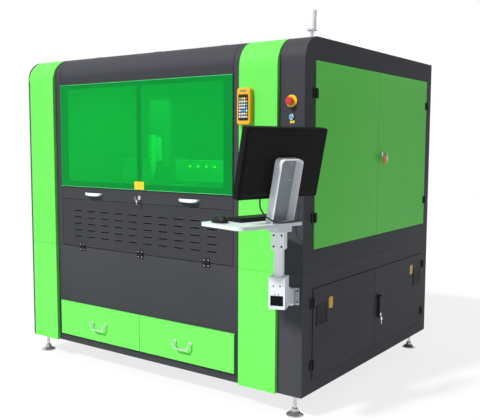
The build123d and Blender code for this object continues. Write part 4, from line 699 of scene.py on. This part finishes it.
def hanging_set(name, body, at, out, tag, scale=1.0):
    """The ring, the spare key and, if asked, the tag that hang from a lock."""
    plane = facing(at, out) @ Matrix.Scale(scale, 4)
    bm = bmesh.new()
    rows = []
    for i in range(KEY_RING_STEPS):
        a = 2 * pi * i / KEY_RING_STEPS
        centre = Vector((KEY_RING_R * cos(a), -KEY_RING_R + KEY_RING_R * sin(a), 0))
        way = Vector((cos(a), sin(a), 0))
        rows.append([
            centre + (way * cos(b) + Vector(UP) * sin(b)) * KEY_RING_WIRE
            for b in (2 * pi * k / WIRE_STEPS for k in range(WIRE_STEPS))
        ])
    add_loop(bm, rows)
    add_plate(bm, 20 * MM, 22 * MM, 9 * MM, -1 * MM, 1 * MM, 0.3 * MM, at=(8 * MM, -32 * MM))
    add_plate(bm, 6 * MM, 24 * MM, 1 * MM, -1 * MM, 1 * MM, 0.3 * MM, at=(8 * MM, -52 * MM))
    place_piece(object_from(bm, name + "_ring_and_key", chrome, matrix=plane), body, "chrome")
    if tag:
        bm = bmesh.new()
        add_plate(bm, 40 * MM, 46 * MM, 6 * MM, -2 * MM, 2 * MM, 0.8 * MM, at=(-26 * MM, -38 * MM))
        place_piece(object_from(bm, name + "_tag", orange, matrix=plane), body, "yellow")


# The rings hang from the locks' keys
KEY_BACK, KEY_UP = 7 * MM, 8 * MM
key_low, key_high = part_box("cover_key")
hanging_set(
    "cover_key", "cover_key",
    ((key_low.x + key_high.x) / 2, key_low.y + KEY_BACK, (key_low.z + key_high.z) / 2 + KEY_UP),
    FRONT, False, 0.6,
)
ukey_low, ukey_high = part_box("upper_key")
upper_lock_z = joints["upper_key_turn"]["pos_m"][2]
hanging_set(
    "upper_key", "upper_key",
    (ukey_high.x - KEY_BACK, (ukey_low.y + ukey_high.y) / 2, upper_lock_z + KEY_UP), RIGHT, True,
)

# Keyboard: separate keys in straight rows, in millimetres
KB_ROWS, KB_COLS = 5, 15
KB_PITCH_W, KB_PITCH_N = 16.3, 20
KB_AT = (-15, 150)
KB_FOOT, KB_TOP = (7.6, 8.8), (6.4, 7.4)  # half sizes of a key at its foot and top
KB_FOOT_Z, KB_TOP_Z = 1041.0 * MM - 1.5 * MM, 1044.0 * MM
bm = bmesh.new()
for row in range(KB_ROWS):
    n = KB_AT[1] + (row - (KB_ROWS - 1) / 2) * KB_PITCH_N
    for col in range(KB_COLS):
        w = KB_AT[0] + (col - (KB_COLS - 1) / 2) * KB_PITCH_W
        add_stack(bm, [
            [
                ((w + sx * half[0]) * MM, (n + sy * half[1]) * MM, z)
                for sx, sy in ((-1, -1), (1, -1), (1, 1), (-1, 1))
            ]
            for half, z in ((KB_FOOT, KB_FOOT_Z), (KB_TOP, KB_TOP_Z))
        ])
keys = object_from(bm, "keyboard_keys", black, smooth=False, matrix=HEAD)
soften(keys, 0.8 * MM)
place_piece(keys, "workstation", "black")

# Mouse: a smooth domed body, in millimetres
MOUSE_AT = (-212, 165)
MOUSE_W, MOUSE_L, MOUSE_H = 60, 104, 33
MOUSE_SHARE = 0.96  # keeps it within the CAD mouse
MOUSE_SEAT = 0.3
bm = bmesh.new()
rings = []
for k in range(11):
    t = k / 10
    grow = max(cos(t * pi / 2) ** 0.55, 0.08)
    z = TRAY_TOP + MM * (MOUSE_SEAT + (MOUSE_H - 2 * MOUSE_SEAT) * sin(t * pi / 2) ** 1.2)
    ring = []
    for i in range(40):
        a = 2 * pi * i / 40
        ring.append((
            (MOUSE_AT[0] + MOUSE_W / 2 * MOUSE_SHARE * grow * cos(a)) * MM,
            (MOUSE_AT[1] - 6 * t + MOUSE_L / 2 * MOUSE_SHARE * grow * sin(a)) * MM,
            z,
        ))
    rings.append(ring)
add_stack(bm, rings)
place_piece(object_from(bm, "mouse_body", black, matrix=HEAD), "workstation", "black", "mouse")

# Monitor back: air slots and the screws that hold the channel
AIR_SLOTS = 34
AIR_HALF_W, AIR_HALF_H = 2.6 * MM, 2 * MM
bm = bmesh.new()
for i in range(AIR_SLOTS):
    x = (i - (AIR_SLOTS - 1) / 2) * 9 * MM
    for y in (405 * MM, 398 * MM):
        add_block(
            bm,
            (x - AIR_HALF_W, y - AIR_HALF_H, -0.6 * MM),
            (x + AIR_HALF_W, y + AIR_HALF_H, 0.25 * MM),
            0.3 * MM, 1,
        )
place_piece(object_from(bm, "monitor_air_slots", black_and_painted_shade, matrix=BACK), "workstation", "black")
bm = bmesh.new()
for x in (-37.5, 37.5):
    for y in (197.5, 272.5):
        add_lathe(bm, (
            (4.6 * MM, 3.0 * MM), (4.6 * MM, 4.2 * MM), (3.6 * MM, 5.2 * MM), (1.6 * MM, 5.4 * MM),
        ), turns=20, at=(x * MM, y * MM, 0))
place_piece(object_from(bm, "channel_screws", zinc, matrix=BACK), "workstation", "steel")

# Lower doors' air grilles: black frames with blades and a mesh over the slots, and a plain amber field
GRILLE_W, GRILLE_H, GRILLE_T, RIM = 112 * MM, 104 * MM, 4 * MM, 9 * MM
GRILLE_Z = (653 - 100 - 45) * MM
GRILLE_IN = (42 + 50) * MM  # its middle from the door's hinged edge
BLADES, BLADE_PITCH = 7, 12 * MM
FIELD_ASIDE = 94 * MM
lower_doors = (  # the door, the way from its hinged edge, that edge behind the front, the field's rise
    ("lower_front_door", 1, 103 * MM, 45 * MM),
    ("lower_rear_door", -1, 1561 * MM, 60 * MM),
)
for door_node, end, edge, rise in lower_doors:
    y_mid = front_y + edge + end * GRILLE_IN
    plane = facing((door_x, y_mid, GRILLE_Z), RIGHT)
    W, H = GRILLE_W / 2, GRILLE_H / 2
    bm = bmesh.new()
    for lo, hi in (
        ((-W, -H, 0), (W, -H + RIM, GRILLE_T)),
        ((-W, H - RIM, 0), (W, H, GRILLE_T)),
        ((-W, -H + RIM, 0), (-W + RIM, H - RIM, GRILLE_T)),
        ((W - RIM, -H + RIM, 0), (W, H - RIM, GRILLE_T)),
    ):
        add_block(bm, lo, hi, 1 * MM, 2)
    for i in range(BLADES):
        y = (i - (BLADES - 1) // 2) * BLADE_PITCH
        section = (
            (y + 5 * MM, 3.4 * MM), (y + 4 * MM, 3.6 * MM), (y - 5 * MM, 0.8 * MM), (y - 4 * MM, 0.4 * MM),
        )
        add_stack(bm, [
            [(x, up, out) for up, out in section]
            for x in (-W + RIM - 1 * MM, W - RIM + 1 * MM)
        ])
    add_plate(
        bm, GRILLE_W - 2 * RIM + 2 * MM, GRILLE_H - 2 * RIM + 2 * MM, 1 * MM, 0.05 * MM, 0.35 * MM, 0.1 * MM
    )
    made = object_from(bm, door_node + "_grille", black, smooth=False, matrix=plane)
    place_piece(made, door_node, "black")
    bm = bmesh.new()
    add_plate(bm, 44 * MM, 60 * MM, 8 * MM, 0, FIELD_T, 0.2 * MM)
    field_plane = facing((door_x, y_mid + end * FIELD_ASIDE, GRILLE_Z + rise), RIGHT)
    place_piece(object_from(bm, door_node + "_field", amber, matrix=field_plane), door_node, "yellow")

# Swing handle's black recess plate
hub = joints["handle_turn"]["pos_m"]
bm = bmesh.new()
add_plate(bm, 34 * MM, 196 * MM, 8 * MM, 0, 0.35 * MM, 0.1 * MM, at=(0, -70 * MM))
hub_plane = facing((door_x, hub[1], hub[2]), RIGHT)
place_piece(
    object_from(bm, "lower_handle_plate", black, matrix=hub_plane), "lower_rear_door", "black"
)

# The lever's chrome lock with its keys, near the lever's lower end
lever_low, lever_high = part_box("lower_handle")
lock_at = (lever_high.x - 0.4 * MM, hub[1], lever_low.z + 24 * MM)
bm = bmesh.new()
add_lathe(bm, (
    (9 * MM, 0), (9 * MM, 2.2 * MM), (7.6 * MM, 3.2 * MM), (3.2 * MM, 3.2 * MM), (3.0 * MM, 2.2 * MM),
), turns=28)
place_piece(object_from(bm, "handle_lock", chrome, matrix=facing(lock_at, RIGHT)), "lower_handle", "chrome")
handle_key_at = (lock_at[0] + 4.2 * MM, lock_at[1], lock_at[2] + 2 * MM)
hanging_set("handle_key", "lower_handle", handle_key_at, RIGHT, False)

# Black caps over the moving hinge leaves, and the screws of every leaf
LEAF_START, LEAF_W, LEAF_T, LEAF_H = 5.4 * MM, 24 * MM, 2.5 * MM, 47 * MM
LEAF_SCREW_IN, LEAF_SCREW_ALONG = 15.5 * MM, 14 * MM
KNUCKLE_R = 5 * MM
SKIN = 0.3 * MM


def leaf_frame(pin, along, toward, out):
    """Local X towards the leaf, Y out of the surface and Z along the pin."""
    axes = Matrix((Vector(toward), Vector(out), Vector(along))).transposed().to_4x4()
    return Matrix.Translation(pin) @ axes


def leaf_cap(name, body, pins, along, toward, out, screws):
    """Skins over the moving leaf and half of the knuckle at each pin, and two screws in each leaf."""
    skin, heads = bmesh.new(), bmesh.new()
    seat = LEAF_T - KNUCKLE_R
    end = LEAF_H / 2 + SKIN
    for pin in pins:
        local = leaf_frame(pin, along, toward, out)
        part = bmesh.new()
        add_block(part, (LEAF_START, -KNUCKLE_R, -end), (LEAF_W + SKIN, seat + SKIN, end), 0.5 * MM)
        add_lathe(part, (
            (KNUCKLE_R + SKIN, 0.3 * MM), (KNUCKLE_R + SKIN, end), (KNUCKLE_R * 0.6, LEAF_H / 2 + 2 * SKIN),
        ), turns=20)
        add_block(part, (0, -KNUCKLE_R, 0.3 * MM), (LEAF_START + 0.5 * MM, seat + SKIN, end))
        part.transform(local)
        merge(skin, part)
        for z in (-LEAF_SCREW_ALONG, LEAF_SCREW_ALONG):
            foot = local @ Vector((LEAF_SCREW_IN, seat + SKIN - 0.2 * MM, z))
            add_head(heads, foot, out, ((3.4 * MM, 0), (3.2 * MM, 0.9 * MM), (1.6 * MM, 1.5 * MM)), 14)
    place_piece(object_from(skin, name + "_leaves", black), body, "black")
    place_piece(object_from(heads, name + "_screws", screws), body, "black")


DOOR_PIN_ZS = {"upper": (1.013, 1.625), "lower": (0.261, 0.581)}
HINGE_PITCH = 490 * MM
for level_name, zs in DOOR_PIN_ZS.items():
    for end, toward in (("front", 1), ("rear", -1)):
        body = level_name + "_" + end + "_door"
        pin_at = joints[body + "_swing"]["pos_m"]
        pins = [(pin_at[0], pin_at[1], z) for z in zs]
        leaf_cap(body, body, pins, UP, (0, toward, 0), RIGHT, black)
flap_pin = joints["flap_drop"]["pos_m"]
cover_pin = joints["cover_lift"]["pos_m"]
hinge_xs = [flap_pin[0] + side * HINGE_PITCH for side in (-1, 0, 1)]
flap_pins = [(x, flap_pin[1], flap_pin[2]) for x in hinge_xs]
cover_pins = [(x, cover_pin[1], cover_pin[2]) for x in hinge_xs]
leaf_cap("flap", "flap", flap_pins, RIGHT, UP, FRONT, chrome)
leaf_cap("cover", "cover", cover_pins, RIGHT, FRONT, UP, black)
bm = bmesh.new()
for x in hinge_xs:
    for side in (-LEAF_SCREW_ALONG, LEAF_SCREW_ALONG):
        foot = (x + side, flap_pin[1] + KNUCKLE_R - LEAF_T + 0.1 * MM, flap_pin[2] - LEAF_SCREW_IN)
        add_head(bm, foot, FRONT, ((3.4 * MM, 0), (3.2 * MM, 1.2 * MM), (1.6 * MM, 1.8 * MM)), 14)
place_piece(object_from(bm, "flap_lower_screws", chrome), "cabinet", "black")

# Painted shade on the channel's web between its flanges: a grey plate darkens the web where it lies in shade
bm = bmesh.new()
add_plate(bm, 120 * MM, 286 * MM, 10 * MM, 3.0 * MM, 3.5 * MM, 0.2 * MM, at=(0, 147 * MM))
place_piece(object_from(bm, "channel_web_shade", channel_shade_grey, matrix=BACK), "workstation", "white")

# Dark edge of the left side sheet beside the green cover
left_low, left_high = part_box("left_pillar_covers")
bm = bmesh.new()
add_block(
    bm,
    (left_low.x, left_low.y - 0.5 * MM, left_low.z),
    (left_low.x + 8 * MM, left_low.y + 0.5 * MM, left_high.z - 130 * MM),
    0.2 * MM, 1,
)
place_piece(object_from(bm, "left_edge_strip", dark), "cabinet", "dark")

# Dark socket screws in the clamp, the arm's socket and the wall plate
arm_axis = Vector(joints["arm_swing"]["pos_m"])
ahead = Vector((post_axis.x - arm_axis.x, post_axis.y - arm_axis.y, 0)).normalized()
aside = Vector((-ahead.y, ahead.x, 0))


def add_screws(bm, centre, out, across, places, r):
    """Low round heads with a sunk middle, at places across and up from a face's centre."""
    profile = (
        (r, -0.4 * MM), (r, 1.0 * MM), (r * 0.85, 1.5 * MM), (r * 0.5, 1.5 * MM), (r * 0.45, 0.8 * MM),
    )
    for side, height in places:
        place = Vector(centre) + across * side * MM + Vector((0, 0, height * MM))
        add_head(bm, place, out, profile, 16)


bm = bmesh.new()
clamp_face = Vector((post_axis.x, post_axis.y, 945.5 * MM)) + ahead * 30 * MM
socket_face = Vector((post_axis.x, post_axis.y, 0)) + ahead * 38 * MM
add_screws(bm, clamp_face, ahead, aside, [(w, h) for w in (-18, 18) for h in (-25.5, 25.5)], 4.6 * MM)
add_screws(bm, socket_face, ahead, aside, [(-15, 742), (15, 742)], 3.6 * MM)
add_screws(bm, socket_face, ahead, aside, [(-9, 704), (9, 704)], 2.6 * MM)
place_piece(object_from(bm, "arm_screws", black_and_painted_shade), "arm", "black")
bm = bmesh.new()
wall_face = (arm_axis.x, front_y - 6 * MM, 0)
bolt_places = [(w, 631 + h) for w in (-25, 25) for h in (-28, 28)]
add_screws(bm, wall_face, FRONT, Vector(RIGHT), bolt_places, 5.0 * MM)
place_piece(object_from(bm, "wall_plate_bolts", black_and_painted_shade), "cabinet", "black")

# Dark sleeve in the socket's open foot, as painted shade: it darkens the opening where shade falls
FOOT_SHADE = ((63.4, 651), (63.4, 696), (61.0, 696), (61.0, 651))  # widths and heights, in millimetres
bm = bmesh.new()
add_loop(bm, [
    [(x * MM, y * MM, z * MM) for x, y in rounded_outline(size, size, 2, 3)] for size, z in FOOT_SHADE
])
arm_turn = Matrix((
    (ahead.x, -ahead.y, 0, post_axis.x),
    (ahead.y, ahead.x, 0, post_axis.y),
    (0, 0, 1, 0),
    (0, 0, 0, 1),
))
place_piece(object_from(bm, "socket_foot_shade", black_and_painted_shade, matrix=arm_turn), "arm", "black")

# Gantry's four yellow caps, with painted glow: they give off light though they are no lamps
CAP_PROFILE = ((8 * MM, 0), (8 * MM, 3 * MM), (6 * MM, 4.2 * MM), (1 * MM, 4.6 * MM))
CAPS, CAP_START, CAP_PITCH, CAP_DROP = 4, -0.350, 0.0695, 40 * MM
beam_low, beam_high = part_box("gantry_beam")
bm = bmesh.new()
for i in range(CAPS):
    add_lathe(bm, CAP_PROFILE, turns=20, at=(CAP_START + i * CAP_PITCH, beam_high.z - CAP_DROP, 0))
beam_plane = facing((0, beam_low.y, 0), FRONT)
place_piece(object_from(bm, "gantry_caps", cap_painted_glow, matrix=beam_plane), "gantry", "yellow")

# Floor, background and lights
def math_of(nodes, links, operation, first, second):
    """One step of arithmetic on an output and a second output or a number."""
    step = nodes.new("ShaderNodeMath")
    step.operation = operation
    links.new(first, step.inputs[0])
    if isinstance(second, float):
        step.inputs[1].default_value = second
    else:
        links.new(second, step.inputs[1])
    return step.outputs["Value"]


def mix_of(nodes, links, factor, first, second):
    mix = nodes.new("ShaderNodeMixShader")
    links.new(factor, mix.inputs["Fac"])
    links.new(first, mix.inputs[1])
    links.new(second, mix.inputs[2])
    return mix.outputs["Shader"]


SPREAD = 14
FLOOR_GLOW, FLOOR_GLOW_SHARE = 1.14, 0.70
bm = bmesh.new()
corners = ((-SPREAD, -SPREAD, 0), (SPREAD, -SPREAD, 0), (SPREAD, SPREAD, 0), (-SPREAD, SPREAD, 0))
bm.faces.new([bm.verts.new(p) for p in corners])
floor_material, nodes, links, shader, coords = new_material("pale_floor")
shader.inputs["Base Color"].default_value = (0.60, 0.60, 0.61, 1)
shader.inputs["Roughness"].default_value = 0.75
shader.inputs["Specular IOR Level"].default_value = 0.2
glow = nodes.new("ShaderNodeEmission")
glow.inputs["Color"].default_value = (1, 1, 1, 1)
glow.inputs["Strength"].default_value = FLOOR_GLOW
rays = nodes.new("ShaderNodeLightPath").outputs
share = math_of(nodes, links, "MAXIMUM", rays["Is Camera Ray"], rays["Is Glossy Ray"])
share = math_of(nodes, links, "MULTIPLY", share, FLOOR_GLOW_SHARE)
floor_mix = mix_of(nodes, links, share, shader.outputs["BSDF"], glow.outputs["Emission"])
links.new(floor_mix, nodes["Material Output"].inputs["Surface"])
floor = object_from(bm, "floor", floor_material, smooth=False)
floor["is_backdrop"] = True

# The soft light is stronger from above, the front and the left
BRIGHT_WAY = (-0.55, -0.45, 0.70)
SKY_LOW, SKY_HIGH = 0.04, 0.62
MIRROR_SHARE = 0.6  # of the plain white, in reflections
world = bpy.data.worlds.new("studio")
bpy.context.scene.world = world
world.use_nodes = True
nodes, links = world.node_tree.nodes, world.node_tree.links
nodes.clear()
toward = nodes.new("ShaderNodeVectorMath")
toward.operation = "DOT_PRODUCT"
toward.inputs[1].default_value = Vector(BRIGHT_WAY).normalized()
links.new(nodes.new("ShaderNodeTexCoord").outputs["Generated"], toward.inputs[0])
level = nodes.new("ShaderNodeMapRange")
level.inputs["From Min"].default_value = -1.0
level.inputs["From Max"].default_value = 1.0
level.inputs["To Min"].default_value = SKY_LOW
level.inputs["To Max"].default_value = SKY_HIGH
links.new(toward.outputs["Value"], level.inputs["Value"])
soft_light = nodes.new("ShaderNodeBackground")
soft_light.inputs["Color"].default_value = (0.82, 0.90, 1.0, 1)
links.new(level.outputs["Result"], soft_light.inputs["Strength"])
plain_white = nodes.new("ShaderNodeBackground")
plain_white.inputs["Color"].default_value = (1, 1, 1, 1)
plain_white.inputs["Strength"].default_value = 1.0
rays = nodes.new("ShaderNodeLightPath").outputs
seen = math_of(nodes, links, "MAXIMUM", rays["Is Camera Ray"], rays["Is Transmission Ray"])
mirrored = math_of(nodes, links, "MULTIPLY", rays["Is Glossy Ray"], MIRROR_SHARE)
total = math_of(nodes, links, "MAXIMUM", seen, mirrored)
world_mix = mix_of(nodes, links, total, soft_light.outputs["Background"], plain_white.outputs["Background"])
links.new(world_mix, nodes.new("ShaderNodeOutputWorld").inputs["Surface"])


def area_light(name, place, aim, size, energy, colour):
    data = bpy.data.lights.new(name, "AREA")
    data.shape = "RECTANGLE"
    data.size, data.size_y = size
    data.energy = energy
    data.color = colour
    made = bpy.data.objects.new(name, data)
    made.location = place
    made.rotation_euler = (Vector(aim) - Vector(place)).to_track_quat("-Z", "Y").to_euler()
    bpy.context.collection.objects.link(made)


def sun_light(name, way, energy, angle):
    data = bpy.data.lights.new(name, "SUN")
    data.energy = energy
    data.angle = radians(angle)
    made = bpy.data.objects.new(name, data)
    made.rotation_euler = Vector(way).to_track_quat("-Z", "Y").to_euler()
    bpy.context.collection.objects.link(made)


sun_light("sun", (0.30, 1.0, -1.10), 3.6, 5)
# A weak second sun keeps the back readable, and reaches neither the front nor the right side
sun_light("back_sun", (0.35, -1.0, 0.0), 0.9, 20)
chamber_mid = (pane_mid, front_y + 0.55, 1.84)
below = (pane_mid, front_y + 0.55 + 0.2, 1.0)
area_light("chamber_light", chamber_mid, below, (1.2, 0.5), 48, (0.95, 1.0, 0.9))

bpy.context.scene.view_settings.view_transform = "Standard"

low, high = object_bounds()
